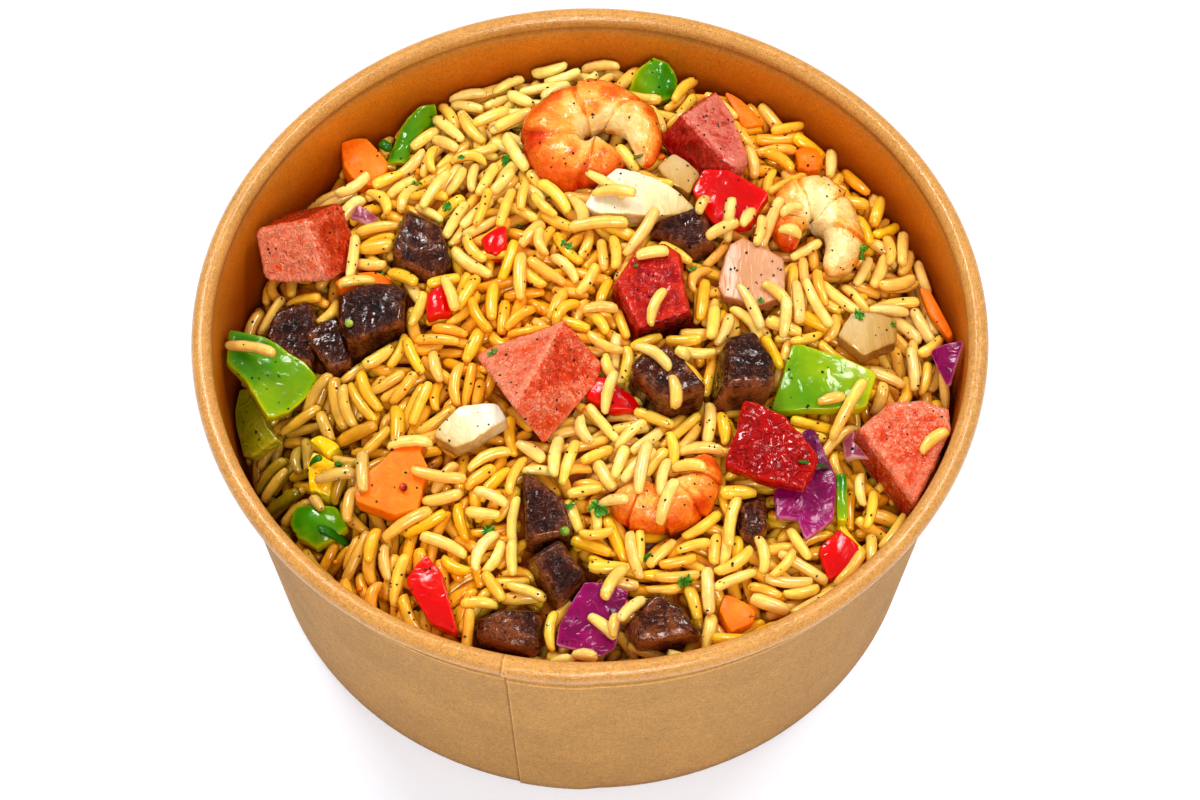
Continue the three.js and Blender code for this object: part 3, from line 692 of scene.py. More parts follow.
# ---- The bowl ----
@dataclass
class Bowl:
    """A paper bowl: a tapered wall rolled outwards into a rim, folded up inside at the foot, and a base pan.

    The wall is one sheet wrapped round and glued, so its outside has a step where the sheet's end lies over
    its start, at `seam` degrees, which evens out over `lap` degrees. A ridge runs round it between the inner
    two of the `score` rows, which are distances below the roll. `warp` is how far it is out of round. The
    marks are painted light on the paper: a painted shadow along the seam's low side, and a painted
    highlight on its edge and along the ridge.
    """

    height: float = 66.0
    rim_radius: float = 75.0
    roll_width: float = 4.2
    roll_height: float = 3.8
    top_radius: float = 72.2
    foot_radius: float = 64.4
    paper: float = 0.8
    hem: float = 7.0
    flange: float = 0.6
    gap: float = 0.3
    seam: float = 257.9
    step: float = 0.35
    lap: float = 14.0
    warp: float = 0.12
    score: tuple[float, ...] = (7.4, 7.0, 6.2, 5.8)
    ridge: float = 0.25
    # Painted light on the paper: a painted shadow and a painted highlight beside the seam, and a painted
    # highlight along the ridge.
    seam_shadow_highlight: tuple[float, float] = (0.65, -0.5)
    ridge_highlight: float = -0.8
    columns: int = 360

    def outer(self, z: Array | float) -> Array | float:
        """The wall's outer radius at a height."""
        return self.foot_radius + (self.top_radius - self.foot_radius) * z / (self.height - self.roll_height)

    def inner(self, z: Array | float) -> Array | float:
        """The wall's inner radius at a height."""
        return self.outer(z) - self.paper

    def wall_profile(self) -> tuple[Array, Array, Array]:
        """The wall's section as radius and height, closed on itself, with its rim and film shades.

        The roll is an ellipse's arc from where it leaves the wall's outside, over the top, to the inside.

        Returns:
            Its points, and the rim and film shade of each.
        """
        low = self.height - self.roll_height
        turn = np.radians(np.linspace(-112, 226, 26))
        roll_r = self.rim_radius + self.roll_width / 2 * (np.cos(turn) - 1)
        roll_z = self.height + self.roll_height / 2 * (np.sin(turn) - 1)
        score = low - np.array(self.score)
        up = np.sort(np.concatenate([np.linspace(0.0, low - 0.8, 24), score]))
        down = np.linspace(low - 0.8, self.hem, 22)
        slot = self.flange + 2 * self.gap
        fold_r = [self.inner(self.paper), self.inner(self.paper) - slot, self.inner(self.hem) - slot]
        fold_r += [self.inner(self.hem) - slot - self.paper, self.inner(0) - slot - self.paper]
        fold_z = [self.paper, self.paper, self.hem, self.hem, 0.0]
        radius = np.concatenate([self.outer(up), roll_r, self.inner(down), fold_r])
        height = np.concatenate([up, roll_z, down, fold_z])
        radius[np.isin(height, score[1:3])] += self.ridge
        rolled = np.concatenate([0 * up, 1 + 0 * turn, 0 * down, np.zeros(len(fold_r))])
        # Down the inside the film shade goes from 0.45 under the roll to 1 lower down: painted light and
        # shade, lighter under the rim and darker towards the food.
        shaded_down = 0.45 + 0.55 * smooth(0.0, 15.0, low - 0.8 - down)
        film = np.concatenate([0 * up, 0 * turn, shaded_down, np.ones(len(fold_r))])
        near = smooth(low - 3.5, low + 0.3, height)
        return np.stack([radius, height], -1), np.maximum(rolled, near * (1 - film)), film

    def build(self) -> None:
        """Makes the wall and the base, and lets them stand for their solids."""
        profile, rim, film = self.wall_profile()
        rows = len(profile)
        beside = self.seam + np.array([-0.5, -0.22, -0.08, 0.0, 0.1, 0.4])
        even = self.columns - len(beside)
        angle = np.radians(np.sort(np.append(np.arange(even) * 360 / even, beside)))
        radius, height = profile[:, 0, None], profile[:, 1, None]
        outside = np.clip((radius - self.inner(height)) / self.paper, 0, 1) * (film[:, None] < 0.1)
        past = (np.degrees(angle) - self.seam) % 360
        raised = np.where(past < self.lap, 1 - smooth(self.lap - 4.0, self.lap, past), 0.0)
        wave = self.warp * np.sin(3 * angle) * np.sin(2 * angle + 1.3) * height / self.height
        out = radius - outside * self.step * (1 - raised) + wave
        points = polar(out, angle, height).reshape(-1, 3)
        c, last = np.arange(self.columns), (rows - 1) * self.columns
        after = (c + 1) % self.columns
        close = np.stack([last + c, c, after, last + after], -1)
        quads = np.concatenate([ring_quads(rows, self.columns), close])[:, ::-1]
        # Painted shadow along the seam's low side, and painted highlights on its edge and along the ridge.
        dark, light = self.seam_shadow_highlight
        seam = np.where(past > 359.7, dark, np.where(past < 0.3, light, 0.0)) * (film[:, None] < 0.1)
        ridge = np.isin(height, self.height - self.roll_height - np.array(self.score[1:3])) * (seam < 0.5)
        shades = {"rim": np.repeat(rim, self.columns), "film": np.repeat(film, self.columns),
                  "mark": (seam + self.ridge_highlight * ridge).ravel()}
        make_piece("bowl_wall_paper", points, [quads], KRAFT, shades, "bowl_wall")
        self.build_base()

    def build_base(self) -> None:
        """The base: a shallow pan turned over, whose flange stands in the wall's hem."""
        under, top = self.hem + self.gap, self.hem + self.gap + self.flange
        foot = self.paper + 2 * self.gap
        edge = self.inner(foot) - self.gap
        bend = self.inner(top) - self.gap
        over = [[2.0, top], [40.0, top], [bend - 0.6, top], [bend, top - 0.5], [edge, foot]]
        back = [[edge - self.flange, foot], [self.inner(under) - self.gap - self.flange, under]]
        profile = np.array([*over, *back, [40.0, under], [2.0, under]])
        rings = polar(profile[:, 0, None], circle(self.columns), profile[:, 1, None])
        points = shell_points(np.array([[0, 0, top]]), rings[None], np.array([[0, 0, under]]))
        shades = {"rim": np.zeros(len(points)), "film": (points[:, 2] > under + 0.1).astype(float),
                  "mark": np.zeros(len(points))}
        faces = shell_faces(len(profile), self.columns)
        make_piece("bowl_base_paper", points, faces, KRAFT, shades, "bowl_base")


# ---- Cut pieces ----
def ball(steps: int) -> tuple[Array, Array]:
    """Directions spread evenly over a ball: each side of a cube is a grid turned to equal angles.

    Args:
        steps: quads along each edge of the cube.

    Returns:
        Unit directions (n, 3), and quads that face out.
    """
    line = np.tan(np.linspace(-math.pi / 4, math.pi / 4, steps + 1))
    u, v = np.meshgrid(line, line, indexing="ij")
    one = np.ones_like(u)
    sides = [np.stack(axes, -1) for axes in ((one, u, v), (v, one, u), (u, v, one))]
    sides += [np.stack(axes, -1) for axes in ((-one, v, u), (u, -one, v), (v, u, -one))]
    points = unit(np.concatenate([side.reshape(-1, 3) for side in sides]))
    i, j = np.meshgrid(np.arange(steps), np.arange(steps), indexing="ij")
    a = i * (steps + 1) + j
    quads = np.stack([a, a + steps + 1, a + steps + 2, a + 1], -1).reshape(-1, 4)
    every = np.concatenate([quads + k * (steps + 1) ** 2 for k in range(6)])
    _, first, same = np.unique(np.round(points, 5), axis=0, return_index=True, return_inverse=True)
    return points[first], same.reshape(-1)[every]


@dataclass
class Topping:
    """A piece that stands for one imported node."""

    node: str

    @property
    def seed(self) -> int:
        """A number of its own for each node."""
        return sum(map(ord, self.node))


@dataclass
class Chunk(Topping):
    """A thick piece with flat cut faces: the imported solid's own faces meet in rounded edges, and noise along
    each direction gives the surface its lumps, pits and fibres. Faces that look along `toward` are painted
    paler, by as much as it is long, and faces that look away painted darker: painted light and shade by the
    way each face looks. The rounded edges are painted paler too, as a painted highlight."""

    finish: Finish
    sharpness: float = 18.0
    lumps: float = 0.25
    lump_mm: float = 4.0
    pits: float = 0.12
    pit_mm: float = 1.2
    fibres: float = 0.0
    # Painted light and shade: faces that look this way are painted paler, and faces that look away darker.
    toward: tuple[float, float, float] = (0.0, 0.0, 0.0)
    steps: int = 40

    def build(self) -> bpy.types.Object:
        """Makes the piece, which stands for its node.

        Returns:
            The piece.
        """
        hull = Hull(self.node)
        seed, middle = self.seed, hull.middle
        way, quads = ball(self.steps)
        surface = middle + way * hull.reach(way, middle, self.sharpness)[:, None]
        gaps = surface @ hull.normals.T - hull.offsets
        order = np.sort(gaps, axis=1)
        edge = 1 - smooth(0.15, 1.6, order[:, -1] - order[:, -2])
        face = hull.normals[gaps.argmax(axis=1)]
        along = surface * np.array([1.0, 1.0, 0.3])
        rise = self.lumps * layered(surface, self.lump_mm, 3, seed)
        rise += self.pits * creased(surface, self.pit_mm, 3, seed + 5)
        rise += self.fibres * creased(along, self.pit_mm * 1.4, 2, seed + 9)
        points = surface + way * rise[:, None]
        # Painted light and shade by the way each face looks, and a painted highlight along the rounded edges.
        shade = 0.5 + face @ np.array(self.toward) + 0.2 * edge
        shade += 0.14 * (creased(surface, self.pit_mm * 1.5, 3, seed + 5) - 0.3)
        shade += 0.16 * layered(face * 3.1 + seed, 1.0, 1, 3)
        return make_piece(self.node + "_cut", points, [quads], self.finish, {"shade": shade}, self.node)


@dataclass
class Slice(Topping):
    """A flat or bent piece: an outline carried round a slab's section.

    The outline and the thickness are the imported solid's, found with rays along its shown face and square to
    it. The face is the quadratic that fits the solid's upper side best, bowed a little more. The section runs
    from the middle of the shown face over a quarter-round edge, down the side and back under. The shade
    rises across the piece by `drift`, along x and y.
    """

    finish: Finish
    edge: float = 0.35
    bow: float = 0.3
    waves: float = 0.15
    wave_mm: float = 5.0
    wrinkles: float = 0.0
    wrinkle_mm: float = 1.6
    face_shade: float = 0.45
    side_shade: float = 0.9
    drift: tuple[float, float] = (0.0, 0.0)
    ragged: float = 0.03
    columns: int = 120

    def outline(self, hull: Hull, axes: Array, level: float) -> Array:
        """How far the solid reaches in each direction, `level` below the face, with its corners softened.

        Args:
            hull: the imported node.
            axes: two along the face and its normal.
            level: how far below the face, in millimetres.

        Returns:
            Distances from the middle, one for each column.
        """
        angle = circle(self.columns)
        way = np.cos(angle)[:, None] * axes[0] + np.sin(angle)[:, None] * axes[1]
        middle = hull.face_middle - level * axes[2]
        found = np.linalg.norm(cast(hull.tree, middle + 40 * way, -way) - middle, axis=1)
        known = np.isfinite(found)
        found = np.interp(angle, angle[known], found[known], period=TURN)
        found = sum(w * np.roll(found, k) for k, w in ((-1, 0.08), (0, 0.84), (1, 0.08)))
        return found * (1 + self.ragged * layered(way * 2.5 + self.seed, 1.0, 3, self.seed))

    def face(self, hull: Hull, axes: Array, reach: Array) -> Array:
        """The six factors of the quadratic height over the face: 1, x, y, x^2, xy and y^2.

        Points that lie below the fit, in a hollow that a piece on top needs, are left out of the next fits.

        Args:
            hull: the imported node.
            axes: two along the face and its normal.
            reach: the outline's distances.

        Returns:
            The six factors.
        """
        angle = circle(self.columns)
        shares = np.array([0.25, 0.5, 0.75, 0.9])
        spread, angle = (shares[:, None] * reach).ravel(), np.tile(angle, len(shares))
        x, y = spread * np.cos(angle), spread * np.sin(angle)
        start = hull.face_middle + x[:, None] * axes[0] + y[:, None] * axes[1] + 12 * axes[2]
        height = (cast(hull.tree, start, np.tile(-axes[2], (len(x), 1))) - hull.face_middle) @ axes[2]
        terms = self.terms(x, y)
        kept = np.isfinite(height) & (height > -1.5)
        calm = np.diag([0.0, 0.0, 0.0, 4.0, 4.0, 4.0])
        for _ in range(3):
            wanted = np.append(height[kept], np.zeros(len(calm)))
            factors = np.linalg.lstsq(np.vstack([terms[kept], calm]), wanted, rcond=None)[0]
            kept = np.isfinite(height) & (np.nan_to_num(height, nan=-99) > terms @ factors - 0.35)
        return factors

    @staticmethod
    def terms(x: Array, y: Array) -> Array:
        """The quadratic's terms along a new last axis."""
        return np.stack([np.ones_like(x), x, y, x * x, x * y, y * y], -1)

    def build(self) -> bpy.types.Object:
        """Makes the piece, which stands for its node.

        Returns:
            The piece.
        """
        hull = Hull(self.node)
        w = hull.facing
        u = unit(np.cross([0.0, 1.0, 0.0], w))
        axes = np.array([u, np.cross(w, u), w])
        ends = cast(hull.tree, hull.face_middle + np.array([[12.0], [-30.0]]) * w, np.array([-w, w]))
        heights = (ends - hull.face_middle) @ w
        thickness = heights[0] - heights[1] if np.isfinite(heights).all() else 2.0
        thickness = max(thickness, 1.0)
        reach = self.outline(hull, axes, min(thickness / 2, 1.0))
        factors = self.face(hull, axes, reach)
        edge = min(self.edge, thickness / 2)
        quarter = np.linspace(0, math.pi / 2, 6)[1:]
        flat = np.linspace(0, 1, 17)[1:]
        back = flat[::-2]
        rest = thickness - edge
        side = np.linspace(edge, rest, 5)[1:-1]
        over, under = edge * (1 - np.sin(quarter)), edge * (1 - np.cos(quarter))
        inset = np.concatenate([edge + 0 * flat, over, 0 * side, under, edge + 0 * back])
        scale = np.concatenate([flat, np.ones(2 * len(quarter) + len(side)), back])
        drop = np.concatenate([0 * flat, under, side, rest + edge * np.sin(quarter), thickness + 0 * back])
        rim = [smooth(0.86, 1.0, flat) * 0.3, 0.3 + 0.7 * np.sin(quarter)]
        rim = np.concatenate([*rim, np.ones(len(side) + len(quarter) + len(back))])
        angle = circle(self.columns)
        r = (reach - inset[:, None]) * scale[:, None]
        x, y = r * np.cos(angle), r * np.sin(angle)
        height = self.terms(x, y) @ factors + self.bow * (0.4 - (x / reach.mean()) ** 2) - drop[:, None]
        rings = hull.face_middle + np.stack([x, y, height], -1) @ axes
        top = factors[0] + self.bow * 0.4
        points = shell_points((hull.face_middle + top * w)[None], rings[None],
                              (hull.face_middle + (top - thickness) * w)[None])
        rise = self.waves * layered(points, self.wave_mm, 2, self.seed)
        rise += self.wrinkles * creased(points, self.wrinkle_mm, 3, self.seed + 4)
        points = points + w * rise[:, None]
        shade = np.repeat(self.face_shade + (self.side_shade - self.face_shade) * rim, self.columns)
        shade = np.concatenate([[self.face_shade], shade, [self.side_shade]])
        shade += 0.1 * noise(points, 7.0, self.seed + 2)
        shade += (points - hull.face_middle)[:, :2] @ np.array(self.drift) / reach.mean()
        faces = shell_faces(len(drop), self.columns)
        return make_piece(self.node + "_cut", points, faces, self.finish, {"shade": shade}, self.node)


# ---- Prawns ----
@dataclass
class Prawn(Topping):
    """A peeled, curled prawn: rings carried along an oval path that coils in at the cut end and swings out at
    the tail. Overlapping segments swell and step down one after another. The back is redder than the belly,
    by `blush`, and `warm` adds to the red at the cut end, the middle and the tail."""

    at: tuple[float, float, float]
    lean: float
    oval: tuple[float, float]
    start: float
    sweep: float
    girth: tuple[float, float, float]
    coil: float = 0.0
    uncurl: float = 0.0
    segments: float = 5.0
    blush: float = 0.5
    warm: tuple[float, float, float] = (0.0, 0.0, 0.0)
    rows: int = 150
    columns: int = 44

    def path(self, t: Array) -> Array:
        """The middle line at t from 0 at the cut end to 1 at the tail, in the prawn's own plane.

        The radius is the oval's, less coil * (1 - (t / 0.25)^2) near the start, plus uncurl * t^10.

        Args:
            t: places along the prawn, from 0 to 1.

        Returns:
            The points, (n, 3).
        """
        a = np.radians(self.start + self.sweep * t)
        reach = 1 / np.hypot(np.cos(a) / self.oval[0], np.sin(a) / self.oval[1])
        r = reach - self.coil * np.maximum(0, 1 - (t / 0.25) ** 2) + self.uncurl * t**10
        return polar(r, a, 0.0)

    def size(self, t: Array) -> Array:
        """Half the girth: it fills to 0.3, thins to the tail and closes at both ends.

        Args:
            t: places along the prawn, from 0 to 1.

        Returns:
            Half the girth at each.
        """
        cut, thick, tail = self.girth
        filling = np.sin(np.minimum(t, 0.3) / 0.3 * math.pi / 2)
        thinning = (np.maximum(t - 0.3, 0) / 0.7) ** 2.5
        body = (cut + (thick - cut) * filling) * (1 - thinning) + tail * thinning
        return body * np.sqrt(np.maximum(1 - np.abs(2 * t - 1) ** 14, 0))

    def place(self, local: Array) -> Array:
        """Leans the plane towards the front and moves it to its place.

        Args:
            local: points in its own plane.

        Returns:
            The points in the bowl.
        """
        cos, sin = math.cos(math.radians(self.lean)), math.sin(math.radians(self.lean))
        x, y, z = local[..., 0], local[..., 1], local[..., 2]
        return np.stack([x, y * cos - z * sin, y * sin + z * cos], -1) + np.array(self.at)

    def build(self) -> bpy.types.Object:
        """Makes the piece, which stands for its node.

        Returns:
            The piece.
        """
        even = np.linspace(0.004, 0.996, self.rows)
        t = 0.65 * even + 0.35 * (0.5 - 0.5 * np.cos(even * math.pi))
        b = circle(self.columns)
        middle = self.path(t)
        back = 0.5 + 0.5 * np.cos(b)
        along = t[:, None] * self.segments + 0.16 * (1 - back) + 0.03 * np.sin(3 * b)
        skew = along % 1.0
        swell = 0.11 * (1 - skew) ** 1.4 - 0.08 * np.exp(-(((skew - 0.96) / 0.04) ** 2))
        size = self.size(t)[:, None] * (1 + swell * smooth(0.03, 0.12, t)[:, None])
        side = np.sign(self.sweep) * np.sin(b)
        rings = middle[:, None] + unit(middle)[:, None] * (np.cos(b) * size)[..., None]
        rings[..., 2] += side * size
        start, end = self.place(self.path(np.array([0.0]))), self.place(self.path(np.array([1.0])))
        points = shell_points(start, self.place(rings)[None], end)
        axis = np.concatenate([start, np.repeat(self.place(middle), self.columns, axis=0), end])
        flesh = 0.3 * layered(points, 3.0, 3, self.seed) + 0.08 * creased(points, 1.1, 2, self.seed + 3)
        points = points + unit(points - axis) * flesh[:, None]
        line = np.exp(-(((skew - 0.94) / 0.05) ** 2)) * 0.3
        red = 0.1 + self.blush * back**1.6 + line * (0.4 + 0.6 * back) - 0.05 * side * (1 - back)
        red = red + np.interp(t, [0.0, 0.5, 1.0], self.warm)[:, None]
        patch = smooth(0.0, 0.7, noise(points, 3.4, self.seed + 7))
        shade = np.concatenate([[0.45], red.ravel(), [0.6]]) + 0.32 * (patch - 0.35)
        faces = shell_faces(self.rows, self.columns)
        return make_piece(self.node + "_flesh", points, faces, PRAWN, {"shade": shade}, self.node)


# ---- The rice ----
@dataclass
class Heap:
    """The heap's shape: a dome that meets the wall at a height which changes round the bowl."""

    crown: float = 61.5
    fullness: float = 2.2
    sink: float = 8.5
    floor: float = 8.5
    line: tuple[tuple[float, float], ...] = (
        (0, 51), (30, 50.5), (60, 53), (90, 54), (115, 51.5), (135, 49), (160, 46), (180, 43), (195, 36),
        (215, 42), (235, 48), (270, 52), (315, 53), (345, 48), (360, 51),
    )

    def edge(self, angle: Array) -> Array:
        """The height at the wall, eased between the line's stops by (1 - cos(pi t)) / 2.

        Args:
            angle: in radians, round the bowl.

        Returns:
            The heights.
        """
        stops = np.array(self.line)
        degrees = np.degrees(angle) % 360
        after = np.clip(np.searchsorted(stops[:, 0], degrees), 1, len(stops) - 1)
        low, high = stops[after - 1], stops[after]
        t = (degrees - low[..., 0]) / (high[..., 0] - low[..., 0])
        return low[..., 1] + (high[..., 1] - low[..., 1]) * (1 - np.cos(math.pi * t)) / 2

    def height(self, x: Array, y: Array) -> Array:
        """The dome: edge + (crown - edge) (1 - r^fullness), with r the share of the way to the wall.

        Args:
            x: places.
            y: places.

        Returns:
            The heights over them.
        """
        edge = self.edge(np.arctan2(y, x))
        out = np.clip(np.hypot(x, y) / Bowl().inner(edge), 0, 1)
        return edge + (self.crown - edge) * (1 - out**self.fullness)

    def core(self, x: Array, y: Array) -> Array:
        """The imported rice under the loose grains: lower by `sink`, and lumpy."""
        places = np.stack([x, y, 0 * x], -1)
        return self.height(x, y) - self.sink + 0.9 * layered(places, 6.0, 3, 3)

    def build(self) -> bpy.types.Object:
        """Makes the core, which with the grains stands for the heap.

        Returns:
            The core.
        """
        rows, columns = 90, 220
        angle = circle(columns)
        share = (np.arange(rows) + 1) / rows
        wall = Bowl().inner(self.edge(angle) - self.sink) - 0.4
        x, y = share[:, None] * wall * np.cos(angle), share[:, None] * wall * np.sin(angle)
        dome = np.stack([x, y, self.core(x, y)], -1)
        low = Bowl().inner(self.floor) - 0.6
        foot = polar(low, angle, self.floor)
        middle = np.array([[0.0, 0.0, float(self.core(np.zeros(1), np.zeros(1))[0])]])
        rings = np.concatenate([dome, foot[None]])
        points = shell_points(middle, rings[None], np.array([[0.0, 0.0, self.floor]]))
        shades = {"shade": 0.45 + 0.4 * noise(points, 5.0, 8)}
        return make_piece("rice_core", points, shell_faces(len(rings), columns), CORE, shades, "rice_heap")


BLOCKED = 200.0  # a height that no grain can reach
EMPTY = -50.0  # lower than anything


@dataclass
class GrainBed:
    """Loose grains, laid one after another on what lies below them.

    A map holds the height of everything so far. A grain is tried in many places and directions at once. At
    each try its underside is held against the map: the lowest straight line that lies above the supports is
    the grain's tilt, as a stick rests on two bumps. The try that fills the deepest hollow is kept and added
    to the map. Grains come in bunches of a few that lie nearly side by side, as boiled rice does. The top
    `layer` is laid last, all stay `clearance` from the wall, and each bears its own mix of the `tints`.
    """

    heap: Heap
    cell: float = 0.4
    half: float = 74.0
    relief: float = 1.1
    layer: float = 2.6
    clearance: float = 0.6
    lengths: tuple[float, float] = (6.6, 10.6)
    radii: tuple[float, float] = (1.06, 1.34)
    # Golden, pale and orange rice, and a darker orange that is painted shade on grains that lie deep in the
    # heap.
    tints: tuple[str, str, str, str] = ("FFC424", "FFD884", "FF9C0C", "FFB420")
    guesses: int = 40
    stations: int = 9
    rows: int = 6
    sides: int = 8
    rng: np.random.Generator = field(default_factory=lambda: np.random.default_rng(11))
    x: Array = field(init=False)
    y: Array = field(init=False)
    target: Array = field(init=False)
    out: Array = field(init=False)
    ground: Array = field(init=False)
    free: Array = field(init=False)
    laid: list[Array] = field(default_factory=list)

    def __post_init__(self) -> None:
        """Starts the map with the core, closed off outside the bowl's wall."""
        line = np.arange(-self.half, self.half + self.cell, self.cell)
        self.x, self.y = np.meshgrid(line, line, indexing="ij")
        places = np.stack([self.x, self.y, 0 * self.x], -1)
        self.target = self.heap.height(self.x, self.y) + self.relief * layered(places, 11.0, 2, 6)
        self.ground = self.heap.core(self.x, self.y)
        self.out = np.hypot(self.x, self.y) - Bowl().inner(self.target - 5)
        self.ground[self.out > -self.clearance] = BLOCKED
        self.free = self.ground.copy()

    def index(self, x: Array) -> Array:
        """The map's row or column for a coordinate."""
        return np.clip(np.round((x + self.half) / self.cell).astype(int), 0, len(self.x) - 1)

    def survey(self, pieces: list[bpy.types.Object]) -> tuple[Array, Array]:
        """Maps of the toppings' upper and under sides: EMPTY and BLOCKED where there is none.

        Args:
            pieces: the toppings.

        Returns:
            The two maps.
        """
        depsgraph = bpy.context.evaluated_depsgraph_get()
        tops, bottoms = np.full_like(self.ground, EMPTY), np.full_like(self.ground, BLOCKED)
        for piece in pieces:
            box = np.array([tuple(v.co) for v in piece.data.vertices]) / MM
            i = slice(self.index(box[:, 0].min()), self.index(box[:, 0].max()) + 1)
            j = slice(self.index(box[:, 1].min()), self.index(box[:, 1].max()) + 1)
            x, y = self.x[i, j].ravel(), self.y[i, j].ravel()
            tree = BVHTree.FromObject(piece, depsgraph)
            up = np.tile([0.0, 0.0, 1.0], (len(x), 1))
            top = cast(tree, np.stack([x, y, np.full_like(x, 90.0)], -1), -up)[:, 2]
            low = cast(tree, np.stack([x, y, np.full_like(x, 10.0)], -1), up)[:, 2]
            tops[i, j] = np.fmax(tops[i, j], top.reshape(tops[i, j].shape))
            bottoms[i, j] = np.fmin(bottoms[i, j], low.reshape(tops[i, j].shape))
        return tops, bottoms

    def lay_under(self, bottoms: Array) -> None:
        """Fills the bed to a layer below its surface, also under the toppings where there is room.

        Args:
            bottoms: the map of their under sides.
        """
        open_ground = self.ground.copy()
        self.ground = np.where(bottoms < self.ground + self.layer, BLOCKED, self.ground)
        self.settle(np.minimum(self.target - self.layer, bottoms - 0.9), 4000)
        self.ground = np.where(self.ground > BLOCKED / 2, open_ground, self.ground)

    def block(self, tops: Array, margin: float = 0.8) -> None:
        """Adds the toppings to the map: grains may lie over an outer margin of each, and not further in.

        Args:
            tops: the map of their upper sides.
            margin: how far in a grain may lie.
        """
        inside = tops > EMPTY
        for _ in range(round(margin / self.cell)):
            grown = np.pad(inside, 1)
            inside = inside & grown[2:, 1:-1] & grown[:-2, 1:-1] & grown[1:-1, 2:] & grown[1:-1, :-2]
        self.free = np.maximum(self.ground, tops)
        self.ground = np.where(inside & (tops > self.target - 2.5), BLOCKED, self.free)

    def support(self, grains: Array, ground: Array, steepest: float = 0.8) -> Array:
        """Where each tried grain comes to rest.

        Args:
            grains: (n, 6): x, y, direction, level length, radius and bend.
            ground: the map to rest on.
            steepest: the most it may rise per millimetre. Its other end then hangs free.

        Returns:
            (n, 4): the height of each grain's middle, its rise per millimetre, and how far its two ends
            droop from the straight line.
        """
        x, y, way, length, radius, bend = (grains[:, k, None, None] for k in range(6))
        along = np.linspace(-0.46, 0.46, self.stations)[:, None]
        across = np.array([-0.7, -0.35, 0.0, 0.35, 0.7])
        s = along * length
        side = across * radius + bend * (1 - (2 * along) ** 2)
        px = x + s * np.cos(way) - side * np.sin(way)
        py = y + s * np.sin(way) + side * np.cos(way)
        under = ground[self.index(px), self.index(py)] + radius * np.sqrt(1 - across**2) * 0.9
        need, s = under.max(axis=2), s[:, :, 0]
        rows, mid = np.arange(len(grains)), self.stations // 2
        span = s[:, None, mid:] - s[:, : mid + 1, None]
        a, b = need[:, : mid + 1, None], need[:, None, mid:]
        apart = span > 1e-3
        span = np.maximum(span, 1e-6)
        held = (a * s[:, None, mid:] - b * s[:, : mid + 1, None]) / span
        held = np.where(apart, held, need[:, mid, None, None])
        pick = held.reshape(len(grains), -1).argmax(axis=1)
        slope = np.where(apart, (b - a) / span, 0.0).reshape(len(grains), -1)[rows, pick]
        slope = np.clip(slope, -steepest, steepest)
        height = (need - slope[:, None] * s).max(axis=1)
        gap = height[:, None] + slope[:, None] * s - need
        droop = np.clip(0.85 * np.stack([gap[:, :2].min(axis=1), gap[:, -2:].min(axis=1)], -1), 0, 1.0)
        return np.column_stack([height, slope, droop])

    def stamp(self, grain: Array) -> None:
        """Adds a grain's upper side to the maps.

        Args:
            grain: the numbers that keep gathers for it.
        """
        x, y, way, length, radius, bend, height, slope, left, right, _ = grain
        reach = length / 2 + radius
        i = slice(self.index(x - reach), self.index(x + reach) + 1)
        j = slice(self.index(y - reach), self.index(y + reach) + 1)
        dx, dy = self.x[i, j] - x, self.y[i, j] - y
        s = dx * math.cos(way) + dy * math.sin(way)
        part = np.clip(2 * s / length, -1, 1)
        side = dy * math.cos(way) - dx * math.sin(way) - bend * (1 - part**2)
        thick = radius * np.sqrt(np.maximum(1 - part**8, 0))
        line = height + slope * s - np.where(part < 0, left, right) * part**2
        top = line + np.sqrt(np.maximum(thick**2 - side**2, 0)) * 0.92 * math.sqrt(1 + slope**2)
        inside = (np.abs(side) < thick) & (np.abs(s) < length / 2)
        for ground in (self.ground, self.free):
            ground[i, j] = np.where(inside, np.maximum(ground[i, j], top), ground[i, j])

    def keep(self, grain: Array, rest: Array, pale: float = 0.0) -> None:
        """Lays a grain down for good, `pale` of the way to the palest rice."""
        self.laid.append(np.concatenate([grain, rest, [pale]]))
        self.stamp(self.laid[-1])

    def tries(self, x: Array, y: Array, way: Array) -> Array:
        """Grains of ordinary sizes at the given places and directions.

        Args:
            x: places.
            y: places.
            way: directions in radians.

        Returns:
            (n, 6), as support takes them.
        """
        n = len(x)
        length = self.rng.uniform(*self.lengths, n)
        bend = self.rng.normal(0, 0.45, n) + np.where(self.rng.uniform(0, 1, n) < 0.2, 0.9, 0.0)
        return np.stack([x, y, way, length, self.rng.uniform(*self.radii, n), bend], -1)

    def settle(self, level: Array, bunches: int = 6000) -> None:
        """Fills the bed bunch by bunch.

        Args:
            level: the map of heights to fill it to.
            bunches: how many bunches are started at most.
        """
        rng = self.rng
        room = np.argwhere((self.ground < BLOCKED / 2) & (self.out < -1.0))
        tired = np.zeros_like(self.ground)
        for _ in range(bunches):
            spots = room[rng.integers(len(room), size=self.guesses)]
            i, j = spots.T
            depth = level[i, j] - self.ground[i, j] - tired[i, j]
            i, j = spots[depth.argmax()]
            if depth.max() < 0.1:
                continue
            x, y, way = self.x[i, j], self.y[i, j], rng.uniform(0, math.pi)
            for step in range(rng.integers(3, 7)):
                made = self.best(x, y, way, step == 0, level)
                if made is None:
                    tired[i - 1 : i + 2, j - 1 : j + 2] += 1.0 if step == 0 else 0.0
                    break
                side = rng.choice((-1, 1)) * 2.3
                slip = rng.normal(0, 1.6)
                x = made[0] - side * math.sin(way) + slip * math.cos(way)
                y = made[1] + side * math.cos(way) + slip * math.sin(way)
        log.info("%d grains laid", len(self.laid))

